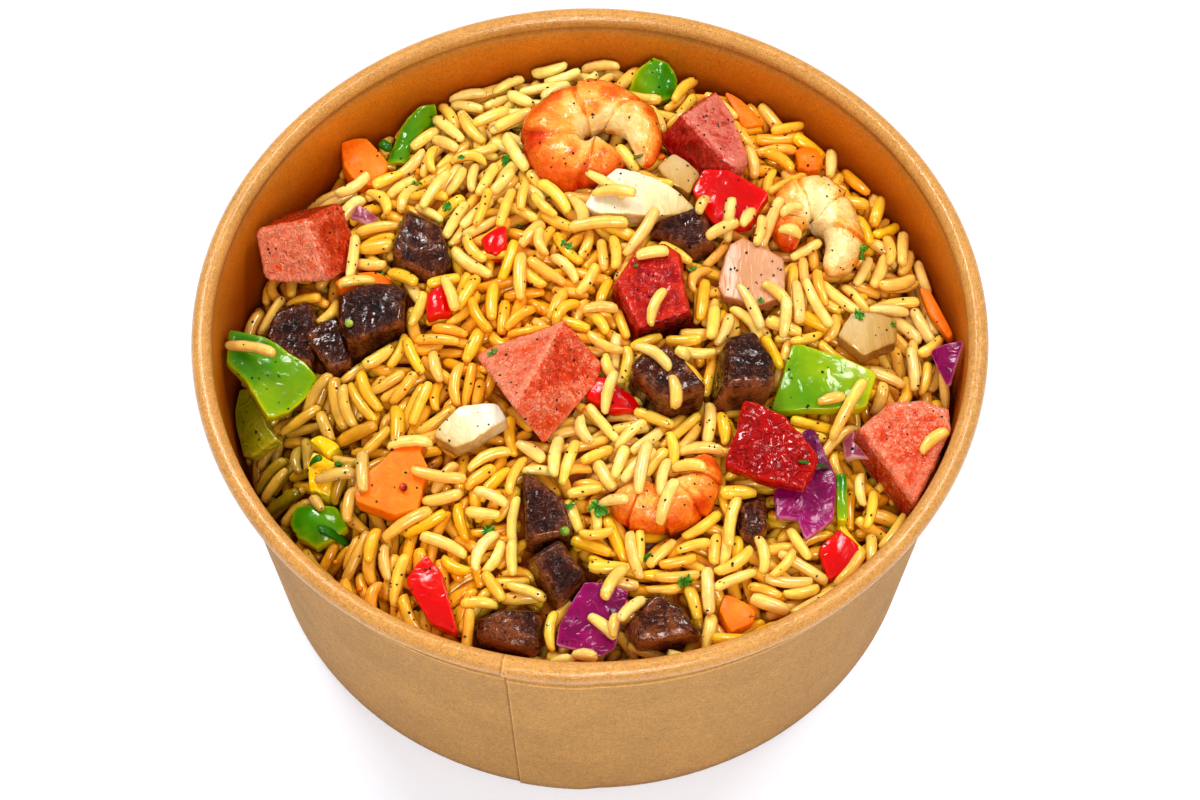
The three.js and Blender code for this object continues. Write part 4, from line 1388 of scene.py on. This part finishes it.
    def best(self, x: float, y: float, way: float, free: bool, level: Array) -> Array | None:
        """Tries grains near a place and keeps the one that lies lowest for its ground.

        A grain may stand 1.1 mm out of the level anywhere along it, or a few of them 2.2 mm, and tips little
        from the level's own slope.

        Args:
            x: the place.
            y: the place.
            way: the bunch's direction.
            free: whether it may turn any way, as the first grain of a bunch.
            level: the map of heights to fill to.

        Returns:
            The grain that was kept, if any fits.
        """
        rng, n = self.rng, self.guesses
        turn = rng.uniform(-1.57, 1.57, n) if free else rng.normal(0, 0.16, n)
        grains = self.tries(x + rng.normal(0, 1.2, n), y + rng.normal(0, 1.2, n), way + turn)
        rest = self.support(grains, self.ground)
        s = np.array([-0.45, 0.0, 0.45]) * grains[:, 3:4]
        px = self.index(grains[:, :1] + s * np.cos(grains[:, 2:3]))
        py = self.index(grains[:, 1:2] + s * np.sin(grains[:, 2:3]))
        aim = level[px, py]
        tip = np.abs(rest[:, 1] - (aim[:, 2] - aim[:, 0]) / (0.9 * grains[:, 3]))
        over = (rest[:, :1] + rest[:, 1:2] * s + grains[:, 4:5] - aim).max(axis=1)
        cost = over + 1.5 * tip
        cost[(over > rng.choice((1.1, 1.1, 1.1, 2.2))) | (tip > 0.55)] = 99.0
        pick = cost.argmin()
        if cost[pick] > 50:
            return None
        self.keep(grains[pick], rest[pick])
        return grains[pick]

    def lay(self, table: tuple[tuple[float, float, float, float, float], ...], radius: float = 1.15) -> None:
        """Lays single, rather pale grains over the toppings, pressed in a little.

        Args:
            table: x, y, direction in degrees, length and bend of each.
            radius: half their thickness.
        """
        self.free = np.where(self.out > -self.clearance, self.target - 3, self.free)
        for x, y, degrees, length, bend in table:
            grain = np.array([x, y, math.radians(degrees), length, radius, bend])
            rest = self.support(grain[None], self.free, steepest=0.55)[0]
            self.keep(grain, rest - np.array([0.2, 0.0, 0.0, 0.0]), pale=0.5)

    def tint(self, middle: Array, bleached: Array) -> Array:
        """A linear colour for each grain: golden, pale or orange, more orange the deeper it lies in the heap
        as painted shade, and the colour of DRIFTS round its places.

        Args:
            middle: the grains' middles, (n, 3).
            bleached: how far each is on the way to the palest rice, (n, 1).

        Returns:
            (n, 3).
        """
        rng, n = self.rng, len(middle)
        golden, pale, orange, shade_orange = (np.array(linear(code)[:3]) for code in self.tints)
        cloud = noise(middle, 16.0, 5)
        light = smooth(-0.2, 1.1, rng.normal(0.3, 0.45, n) - 0.3 * cloud)[:, None]
        warm = smooth(0.1, 1.3, cloud + rng.normal(0.25, 0.45, n))[:, None]
        colour = golden + (pale - golden) * light
        colour = colour + (orange - colour) * 0.6 * warm
        # Painted shade: grains that lie deeper in the heap turn towards the darker orange.
        shade_share = 0.85 * smooth(0.6, 3.2, self.heap.height(middle[:, 0], middle[:, 1]) - middle[:, 2])[:, None]
        colour = colour + (shade_orange - colour) * shade_share
        for x, y, reach, code, share in DRIFTS:
            near = np.exp(-((middle[:, 0] - x) ** 2 + (middle[:, 1] - y) ** 2) / reach**2)
            part = np.clip(share * near * rng.uniform(0.5, 1.3, n), 0, 1)[:, None]
            colour = colour + (np.array(linear(code)[:3]) - colour) * part
        colour = colour + (pale - colour) * bleached
        return colour * rng.uniform(0.9, 1.06, (n, 1))

    def build(self) -> list[bpy.types.Object]:
        """Turns the laid grains into pieces: rounded spindles, slightly flat, each turned its own way.

        Returns:
            Both pieces, near and far.
        """
        data = np.array(self.laid)
        data = data[np.argsort(data[:, 0] + 1000 * (np.arange(len(data)) % 2), kind="stable")]
        x, y, way, level, radius, bend, height, slope, left, right, _ = data.T[:, :, None, None]
        steep = np.sqrt(1 + slope**2)
        half = level * steep / 2
        cap = half - radius
        k = self.rng.uniform(0.25, 0.4, (len(data), 1, 1))
        s = [-cap - 0.66 * radius, -cap + 0.1 * radius, -k * cap, k * cap, cap - 0.1 * radius]
        s = np.concatenate([*s, cap + 0.66 * radius], axis=1)
        part = s / half
        blunt = self.rng.uniform(0.82, 0.98, (len(data), 1))
        ends = [0.75 * blunt, 0.95 * blunt, *(share + 0 * blunt for share in (1, 1, 0.98, 0.75))]
        ends = np.stack(ends, axis=1)
        b = circle(self.sides)
        roll = self.rng.uniform(0, math.pi, (len(data), 1, 1))
        thick = radius * ends * (1 - 0.08 * np.cos(2 * (b - roll)))
        axis = np.concatenate([np.cos(way), np.sin(way), slope], -1) / steep
        side = np.concatenate([-np.sin(way), np.cos(way), 0 * way], -1)
        rise = np.cross(axis, side)
        middle = np.concatenate([x, y, height], -1)
        along = np.concatenate([-1 + 0 * part[:, :1], part, 1 + 0 * part[:, :1]], axis=1)
        line = middle + along * half * axis + bend * (1 - along**2) * side
        line = line - np.where(along < 0, left, right) * along**2 * np.array([0.0, 0.0, 1.0])
        rings = line[:, 1:-1, None] + (thick * np.cos(b))[..., None] * side[:, :, None]
        rings = rings + (thick * np.sin(b))[..., None] * rise[:, :, None]
        tips = line[:, 0], line[:, -1]
        stride = self.rows * self.sides + 2
        tint = self.tint(data[:, [0, 1, 6]], data[:, 10:])
        pieces = []
        for label, own in (("near", np.arange(0, len(data), 2)), ("far", np.arange(1, len(data), 2))):
            points = shell_points(tips[0][own], rings[own], tips[1][own])
            faces = repeated(shell_faces(self.rows, self.sides), len(own), stride)
            up = np.concatenate([[0.0], np.tile(np.sin(b), self.rows), [0.0]])
            # Painted shade: the underside of each grain is darkened towards orange.
            low = 0.5 * smooth(0.3, -0.8, np.tile(up, len(own)))[:, None]
            colours = np.repeat(tint[own], stride, axis=0)
            colours = colours * (1 - low) + low * colours * np.array([1.0, 0.6, 0.2])
            shades = {"tint": colours}
            pieces.append(make_piece("rice_grains_" + label, points, faces, GRAINS, shades, "rice_heap"))
        return pieces


# ---- Small garnish ----
@dataclass
class Garnish:
    """Parsley, chives, spice and crumbs, scattered on whatever shows from above."""

    surfaces: list[bpy.types.Object]
    rng: np.random.Generator = field(default_factory=lambda: np.random.default_rng(23))
    trees: list[BVHTree] = field(init=False)

    def __post_init__(self) -> None:
        """Makes the surfaces ready for rays."""
        depsgraph = bpy.context.evaluated_depsgraph_get()
        self.trees = [BVHTree.FromObject(surface, depsgraph) for surface in self.surfaces]

    def land(self, x: Array, y: Array) -> tuple[Array, Array]:
        """The highest surface over each place.

        Args:
            x: places, (n,).
            y: places, (n,).

        Returns:
            The points, (n, 3) in millimetres, and the surfaces' normals.
        """
        points, normals = [], []
        down = Vector((0, 0, -1))
        for start in np.stack([x, y, np.full_like(x, 95.0)], -1) * MM:
            found = [tree.ray_cast(Vector(start), down)[:2] for tree in self.trees]
            found = [hit for hit in found if hit[0]]
            if found:
                point, normal = max(found, key=lambda hit: hit[0].z)
                points.append(tuple(point))
                normals.append(tuple(normal))
        normals = np.array(normals)
        return np.array(points) / MM, np.where(normals[:, 2:] < 0, -normals, normals)

    def scatter(self, count: int, radius: float = 68.0) -> tuple[Array, Array]:
        """Random places over the bowl's opening, with what lies there.

        Args:
            count: how many.
            radius: how far out they go.

        Returns:
            What land returns for them.
        """
        r = radius * np.sqrt(self.rng.uniform(0, 1, count))
        a = self.rng.uniform(0, TURN, count)
        return self.land(r * np.cos(a), r * np.sin(a))

    def frames(self, normals: Array) -> Array:
        """Axes on a surface: two along it, turned at random, and its normal.

        Args:
            normals: the way up at each place, (n, 3).

        Returns:
            (n, 3, 3), an axis in each row.
        """
        a = self.rng.uniform(0, TURN, len(normals))[:, None]
        level = np.array([np.cos(a[:, 0]), np.sin(a[:, 0]), 0 * a[:, 0]]).T
        first = unit(np.cross(np.cross(normals, level), normals))
        return np.stack([first, np.cross(normals, first), normals], 1)

    def bits(
        self,
        name: str,
        finish: Finish,
        count: int,
        lengths: tuple[float, float],
        top: Callable[[Array], Array | float],
        flat: float = 0.5,
    ) -> None:
        """Scatters small knobbly lumps and joins them into one piece.

        Args:
            name: the piece's name.
            finish: what they are made of.
            count: how many are scattered.
            lengths: the shortest and the longest.
            top: the height at each point that they have to lie below. The others are left out.
            flat: thickness over length.
        """
        points, normals = self.scatter(count)
        low = points[:, 2] < top(points)
        points, normals = points[low], normals[low]
        sizes = self.rng.uniform(*lengths, len(points))
        way, quads = ball(2)
        axes = self.frames(normals)
        width = self.rng.uniform(0.28, 0.5, len(sizes))
        stretch = np.stack(np.broadcast_arrays(0.5, width, flat / 2), -1) * sizes[:, None]
        knobs = 1 + self.rng.uniform(-0.22, 0.22, (len(sizes), len(way), 1))
        local = way[None] * stretch[:, None] * knobs
        world = points[:, None] + local @ axes + normals[:, None] * (sizes * flat * 0.3)[:, None, None]
        shade = np.repeat(self.rng.uniform(0.1, 0.9, len(sizes)), len(way))
        faces = repeated([quads], len(sizes), len(way))
        make_piece(name, world.reshape(-1, 3), faces, finish, {"shade": shade})

    def beads(self, name: str, finish: Finish, table: tuple[tuple[float, float, float], ...]) -> None:
        """Single round berries, a little uneven, that stand on what is under them.

        Args:
            name: the piece's name.
            finish: what they are made of.
            table: x, y and width of each.
        """
        data = np.array(table)
        points, normals = self.land(data[:, 0], data[:, 1])
        way, quads = ball(8)
        local = way * (1 + 0.05 * layered(way, 0.6, 2, 5))[:, None]
        world = points[:, None] + (data[:, 2] / 2)[:, None, None] * (local + 0.7 * normals[:, None])
        world = world.reshape(-1, 3)
        faces = repeated([quads], len(data), len(way))
        make_piece(name, world, faces, finish, {"shade": 0.5 + 0.4 * noise(world, 1.0, 6)})

    def leaves(self, table: tuple[tuple[float, float, float, float], ...]) -> None:
        """Parsley: each leaf is a lobed blade, cupped and crinkled, that lies on what is under it.

        The outline is 0.44 + 0.2 cos(a) + 0.3 |cos(2.5 a + p)|^0.8 with fine teeth, and p differs from one
        leaf to the next.

        Args:
            table: x, y, direction in degrees and length of each leaf.
        """
        data = np.array(table)
        points, normals = self.land(data[:, 0], data[:, 1])
        rows, columns = 7, 40
        a = circle(columns)
        share = np.concatenate([np.linspace(0.15, 1, rows), np.linspace(0.97, 0.2, 4)])
        low = np.concatenate([np.zeros(rows), np.full(4, -0.16)])
        blades, shades = [], []
        for (x, y, degrees, length), point, normal in zip(data, points, normals):
            turn = math.radians(degrees)
            first = unit(np.cross(np.cross(normal, [math.cos(turn), math.sin(turn), 0]), normal))
            axes = np.stack([first, np.cross(normal, first), normal])
            lobes = 0.44 + 0.2 * np.cos(a) + 0.3 * np.abs(np.cos(2.5 * a + 0.35 * math.sin(9 * x))) ** 0.8
            lobes = lobes + 0.05 * np.cos(17 * a + y)
            r = share[:, None] * lobes * length / 2
            px, py = r * np.cos(a), (0.75 + 0.2 * math.sin(5 * y)) * r * np.sin(a)
            wave = 0.12 * length * np.cos(5 * a + x) * share[:, None] ** 2 + 0.06 * length * np.sin(7 * a + x)
            wave = wave - 0.02 * length * (px / length) * 4
            local = np.stack([px, py, 0.45 + wave * share[:, None] + low[:, None]], -1)
            blades.append(shell_points((point + normal * 0.5)[None], (point + local @ axes)[None],
                                       (point + normal * 0.3)[None]))
            vein = 0.35 + 0.3 * share[:, None] + 0.15 * np.cos(10 * a)
            shades.append(np.concatenate([[0.4], vein.ravel(), [0.3]]))
        faces = repeated(shell_faces(len(share), columns), len(blades), len(share) * columns + 2)
        make_piece("parsley", np.concatenate(blades), faces, HERB, {"shade": np.concatenate(shades)})

    def stalks(
        self, name: str, finish: Finish, table: tuple[tuple[float, ...], ...], shade: float = 0.5
    ) -> None:
        """Short rods, such as chives and stems, bent over what they lie on.

        Args:
            name: the piece's name.
            finish: what they are made of.
            table: x, y, direction in degrees, length and width of each.
            shade: the place on the finish's ramp.
        """
        rows, columns = 7, 8
        data = np.array(table)
        turn = np.radians(data[:, 2])
        reach = np.linspace(-0.5, 0.5, rows)
        x = data[:, :1] + reach * data[:, 3:4] * np.cos(turn)[:, None]
        y = data[:, 1:2] + reach * data[:, 3:4] * np.sin(turn)[:, None]
        points, _ = self.land(x.ravel(), y.ravel())
        line = points.reshape(len(data), rows, 3)
        fit = np.polyfit(reach, line[:, :, 2].T, 2)
        line[:, :, 2] = (fit[0][:, None] * reach**2 * 0.4 + fit[1][:, None] * reach + fit[2][:, None])
        line[:, :, 2] += data[:, 4:5] * 0.3
        across = np.stack([-np.sin(turn), np.cos(turn), 0 * turn], -1)
        b = circle(columns)[:, None]
        ends = np.sqrt(1 - np.abs(2 * reach) ** 6 * 0.75)
        wide = data[:, 4, None, None, None] / 2 * ends[None, :, None, None]
        ring = np.cos(b) * across[:, None, None] + np.sin(b) * np.array([0.0, 0.0, 0.8])
        world = shell_points(line[:, 0], line[:, :, None] + wide * ring, line[:, -1])
        faces = repeated(shell_faces(rows, columns), len(data), rows * columns + 2)
        make_piece(name, world, faces, finish, {"shade": shade + 0.2 * noise(world, 3.0, 4)})


# ---- The studio ----
@dataclass
class Studio:
    """A white floor in even light, with soft lamps overhead that leave short highlights on what is oily."""

    target: tuple[float, float, float] = (1.87, -7.04, 50.0)
    elevation: float = 58.34
    distance: float = 739.15
    lens: float = 117.0
    sky: float = 0.36
    lamps: tuple[tuple[float, float, float, float, float], ...] = (
        (-0.45, 0.5, 1.0, 0.26, 3.4), (0.5, 0.3, 1.0, 0.24, 2.5), (0.1, -0.9, 1.0, 0.36, 3.7),
    )

    def lamp(self, name: str, way: tuple[float, float, float], size: float, power: float) -> None:
        """An area lamp that looks at the bowl from a direction.

        Args:
            name: the lamp's name.
            way: the direction it shines from.
            size: its width in metres.
            power: in watts.
        """
        light = bpy.data.lights.new(name, "AREA")
        light.shape, light.size, light.energy = "DISK", size, power
        made = bpy.data.objects.new(name, light)
        direction = Vector(way).normalized()
        made.location = direction * 0.9 + Vector((0, 0, 0.05))
        made.rotation_euler = direction.to_track_quat("Z", "Y").to_euler()
        bpy.context.scene.collection.objects.link(made)

    def build(self) -> None:
        """Makes the floor, the light and the camera."""
        mesh = bpy.data.meshes.new("floor")
        mesh.from_pydata([(-4, -4, 0), (4, -4, 0), (4, 4, 0), (-4, 4, 0)], [], [(0, 1, 2, 3)])
        mesh.materials.append(FLOOR.material())
        floor = bpy.data.objects.new("floor", mesh)
        bpy.context.scene.collection.objects.link(floor)
        world = bpy.data.worlds.new("studio")
        world.use_nodes = True
        sky = {"Color": linear("FFFFFF"), "Strength": self.sky}
        fill(world.node_tree, world.node_tree.nodes["Background"], sky)
        bpy.context.scene.world = world
        for k, (x, y, z, size, power) in enumerate(self.lamps):
            self.lamp(f"lamp_{k}", (x, y, z), size, power)
        camera = bpy.data.cameras.new("camera")
        camera.lens, camera.sensor_width, camera.clip_start, camera.clip_end = self.lens, 36.0, 0.01, 20.0
        eye = bpy.data.objects.new("camera", camera)
        tilt = math.radians(self.elevation)
        back = Vector((0, -math.cos(tilt), math.sin(tilt)))
        eye.location = (Vector(self.target) + back * self.distance) * MM
        eye.rotation_euler = back.to_track_quat("Z", "Y").to_euler()
        bpy.context.scene.collection.objects.link(eye)
        bpy.context.scene.camera = eye
        bpy.context.scene.view_settings.view_transform = "Standard"
        bpy.context.scene.view_settings.look = "Medium High Contrast"


# ---- The dish ----
# Each chunk's last direction paints the faces that look along it paler and the others darker: painted light
# and shade. On the beef the darker tops are also the crust's own colour.
CHUNKS = (
    *(Chunk(f"beef_{k}", BEEF, 130.0, 0.22, 5.0, 0.07, 1.8, 0.07, (0.04, -0.18, -0.13))
      for k in range(1, 13)),
    Chunk("sausage_left", SAUSAGE, 90.0, 0.15, 3.5, 0.06, 1.0, 0.05, (-0.14, -0.42, -0.14), 52),
    Chunk("sausage_right", SAUSAGE, 90.0, 0.15, 3.5, 0.06, 1.0, 0.05, (0.16, 0.05, 0.2), 52),
    Chunk("sausage_middle", SAUSAGE, 90.0, 0.15, 3.5, 0.06, 1.0, 0.05, (-0.16, 0.0, 0.06), 52),
    Chunk("sausage_back", DARK_SAUSAGE, 90.0, 0.15, 3.5, 0.06, 1.0, 0.05, (0.42, 0.0, 0.1), 52),
    Chunk("red_sausage", RED_SAUSAGE, 90.0, 0.18, 3.5, 0.08, 1.2, 0.05, (-0.12, 0.36, 0.1), 52),
)
SLICES = (
    *(Slice(f"red_pepper_{k}", RED) for k in range(1, 7)),
    *(Slice(f"carrot_{k}", CARROT, edge=0.3, bow=0.2, face_shade=0.4, side_shade=0.6) for k in range(1, 8)),
    *(Slice(f"cabbage_{k}", CABBAGE, edge=0.25, bow=0.5, waves=0.35, wave_mm=4.0, side_shade=0.95)
      for k in (3, 5)),
    *(Slice(f"cabbage_{k}", PALE_CABBAGE, edge=0.4, bow=0.8, waves=0.3, wave_mm=4.0, side_shade=0.95)
      for k in (1, 2)),
    Slice("cabbage_4", CABBAGE, edge=0.25, bow=0.6, waves=0.4, wave_mm=5.0, side_shade=0.8,
          drift=(0.0, -0.15)),
    *(Slice(f"yellow_pepper_{k}", YELLOW, waves=0.5, wave_mm=3.0) for k in (1, 2)),
    Slice("green_pepper_1", OLIVE),
    *(Slice(f"green_pepper_{k}", GREEN, edge=0.4, bow=0.5, waves=0.25, wave_mm=4.0, drift=(0.06, -0.1))
      for k in (2, 5, 6)),
    Slice("green_pepper_3", GREEN, edge=0.4, bow=0.8, waves=0.6, wave_mm=3.5, face_shade=0.35),
    Slice("green_pepper_4", GREEN, edge=0.4, bow=0.8, waves=0.9, wave_mm=4.0, face_shade=0.4,
          drift=(-0.2, 0.0)),
    Slice("green_pepper_7", GREEN, edge=0.4, bow=0.5, waves=0.3, wave_mm=4.0, face_shade=0.58,
          drift=(0.16, 0.0)),
    *(Slice(f"onion_{k}", finish, edge=0.3, bow=0.6, face_shade=0.62, side_shade=0.3, drift=drift)
      for k, finish, drift in (
          (1, CLEAR_ONION, (0.0, 0.2)), (2, PINK_ONION, (0.1, 0.0)), (3, CLEAR_ONION, (-0.15, 0.1)),
          (4, ONION, (0.2, 0.15)), (5, ONION, (-0.2, 0.2)))),
    Slice("roast_pepper", ROASTED, edge=0.6, bow=0.5, wrinkles=0.3, wrinkle_mm=2.6, waves=0.4),
)
PRAWNS = (
    Prawn("prawn_back", (1, 47, 59), 6, (8.4, 7), 322, -356, (4.4, 5.6, 2.3), 2.6, 3, blush=0.6,
          warm=(0.18, 0.1, -0.02)),
    Prawn("prawn_right", (42.5, 26.5, 58.5), 5, (4.4, 6.2), -77, 313, (3.2, 4.6, 1.9), -3, blush=0.4,
          warm=(-0.2, -0.15, 0.5)),
    Prawn("prawn_front", (12.5, -27, 58.5), 5, (8.5, 8.5), 215, 160, (4, 4.6, 2.6), blush=0.4,
          warm=(0.16, 0.2, 0.24)),
)
# How many pepper specks and carrot crumbs are scattered, and the height that the specks stay below.
SPECKS, CRUMBS = 1100, 160
SPECK_TOP = 70.4
# Grains that lie over the toppings: x, y, direction in degrees, length, bend.
STRAYS = (
    (-64.3, 0.6, -27, 11.2, 0.3), (-46.5, 40.3, 26, 7.6, -0.9), (-45.7, 21.1, 86, 11.4, -0.2),
    (-44.6, 14.4, 10, 7.4, 0.4), (-30.0, 35.6, 60, 10.6, 0.3), (-26.7, 10.0, -73, 8.6, 0.3),
    (-47.5, -25.2, -2, 8.0, 0.3), (-51.0, -29.4, 125, 4.4, 0.0), (-44.6, -30.6, 82, 7.4, 0.4),
    (-33.4, -22.0, 2, 8.8, 0.6), (-42.0, -27.1, 92, 9.2, 0.2), (-28.0, -28.3, -12, 10.8, -0.5),
    (2.9, 33.5, -43, 10.3, 0.4), (4.5, 30.4, -20, 8.9, 0.3), (1.6, 24.6, 2, 11.6, 0.6),
    (9.6, 22.5, 57, 11.4, -0.4), (11.8, 15.6, 11, 6.6, 0.4), (12.8, 4.2, 70, 8.4, 0.9),
    (11.6, -9.6, -38, 8.6, 0.9), (15.4, -16.4, -84, 6.4, 0.5), (17.2, -8.2, -19, 3.2, 0.0),
    (44.9, -14.2, 15, 5.6, 0.2), (48.1, -15.6, 57, 11.6, 0.2), (63.6, -24.0, 41, 7.0, 0.7),
    (21.7, 28.8, 67, 5.0, 0.4), (26.8, 26.5, 84, 9.0, 0.3), (25.3, 23.3, 29, 7.4, 0.4),
    (30.2, 25.7, 65, 5.6, 0.3), (34.6, 25.6, 66, 10.4, 0.3), (32.2, 22.9, 80, 7.4, -0.4),
    (38.6, 27.2, 25, 5.0, 0.8), (38.2, 23.4, -8, 4.8, 0.4), (30.1, 6.0, -66, 10.6, 0.5),
    (35.2, 8.6, -44, 7.4, 0.9), (36.6, 3.9, 84, 7.6, -0.3), (39.2, 8.2, -88, 10.6, 0.3),
    (43.2, 7.9, -66, 11.6, -0.6), (9.8, -30.1, 80, 11.0, 0.3), (13.8, -31.7, 82, 9.2, 0.6),
    (14.3, -37.3, 66, 8.1, 0.4), (18.2, -29.6, -12, 6.6, 0.8), (4.4, -35.9, -8, 5.6, 0.3),
    (3.8, -13.0, 75, 8.4, 0.5), (2.3, -60.4, -38, 6.6, 0.3), (4.6, -60.9, 80, 4.4, 0.2),
    (-4.9, -65.4, 2, 4.8, 0.2), (-0.9, -65.6, -6, 5.0, 0.4), (4.6, -52.1, 62, 8.6, 0.7),
    (7.6, -58.3, 54, 7.6, 0.4),
)
# Where the rice is coloured apart from the rest: juices and oil near the toppings, and by the wall a dark
# olive patch at the front left that is painted shade and a pale patch at the back that is painted light: x, y,
# reach, colour, share.
DRIFTS = (
    (-60, 2, 24, "E4BC60", 0.7), (-57, -26, 19, "86760A", 0.9), (0, 4, 26, "FFA818", 0.3),
    (32, 26, 11, "FFBC80", 0.6), (68, 8, 13, "E0C488", 0.7), (-8, 58, 22, "FFE890", 0.85),
    (0, -64, 11, "E4CC80", 0.6), (34, -38, 14, "FFCC50", 0.4), (4, -16, 13, "FFE898", 0.5),
)
# Parsley and other leaf bits: x, y, direction in degrees, length.
PARSLEY = (
    (-36.3, 28.8, 60, 3.8), (-40.4, 18.4, -70, 4.2), (-4.0, -35.5, 10, 3.8), (1.3, -36.1, -30, 5.8),
    (-18.9, -38.7, 40, 3.6), (51.7, 20.2, 20, 4.8), (51.0, 7.0, -75, 4.0), (57.2, 5.0, -30, 1.8),
    (-18.3, -5.3, 20, 3.0), (-20.8, -6.4, 20, 2.2), (5.1, -45.7, -50, 3.2), (10.1, -44.3, 10, 4.0),
    (17.1, -50.0, -20, 4.2), (32.1, 7.7, 10, 1.8), (-4.8, 20.9, -20, 4.0), (-16.6, 43.8, 80, 4.2),
    (-14.5, 28.5, 20, 3.4), (-28.0, 32.0, 50, 3.2), (-34.0, 39.0, 20, 2.8), (-25.3, 43.8, 0, 2.2),
    (19.4, 15.0, 30, 2.6), (8.6, 13.4, 20, 1.4), (27.4, 22.9, 0, 1.3), (54.4, -36.5, 80, 3.0),
)
# Chives, and the parsley stem on the roasted pepper: x, y, direction in degrees, length, width.
CHIVES = (
    (-46.2, -19.6, 62, 5.6, 2.0), (-51.8, -21.2, -10, 3.4, 1.6), (-47.8, -35.1, -4, 5.4, 2.1),
    (-40.4, 49.8, -40, 2.8, 2.2), (41.2, -28.4, 12, 6.0, 0.8),
)


def main() -> None:
    """Builds the bowl, the toppings, the rice round them and the garnish, then the studio."""
    logging.basicConfig(level=logging.INFO, format="%(message)s")
    Bowl().build()
    toppings = [piece.build() for piece in (*CHUNKS, *SLICES, *PRAWNS)]
    heap = Heap()
    core = heap.build()
    bed = GrainBed(heap)
    tops, bottoms = bed.survey(toppings)
    bed.lay_under(bottoms)
    bed.block(tops)
    bed.settle(bed.target)
    bed.lay(STRAYS)
    grains = bed.build()
    garnish = Garnish(toppings + grains + [core])
    garnish.bits("black_pepper_specks", SPICE, SPECKS, (0.24, 0.62), lambda _: SPECK_TOP)
    garnish.bits("carrot_crumbs", CARROT, CRUMBS, (0.9, 2.2), lambda p: heap.height(p[:, 0], p[:, 1]) - 1.6)
    garnish.leaves(PARSLEY)
    garnish.stalks("chives", HERB, CHIVES, 0.4)
    garnish.stalks("seed_husk", SEED, ((8.8, 43.4, -58, 4.6, 1.7),))
    garnish.beads("green_peppercorns", BERRY, ((-37.6, 14.3, 1.6), (-45.5, 4.0, 1.6), (-4.7, -41.1, 1.9)))
    garnish.beads("pink_peppercorn", RED_BERRY, ((-34.5, -30.4, 1.6),))
    Studio().build()
    log.info("done")


if __name__ == "__main__":
    main()
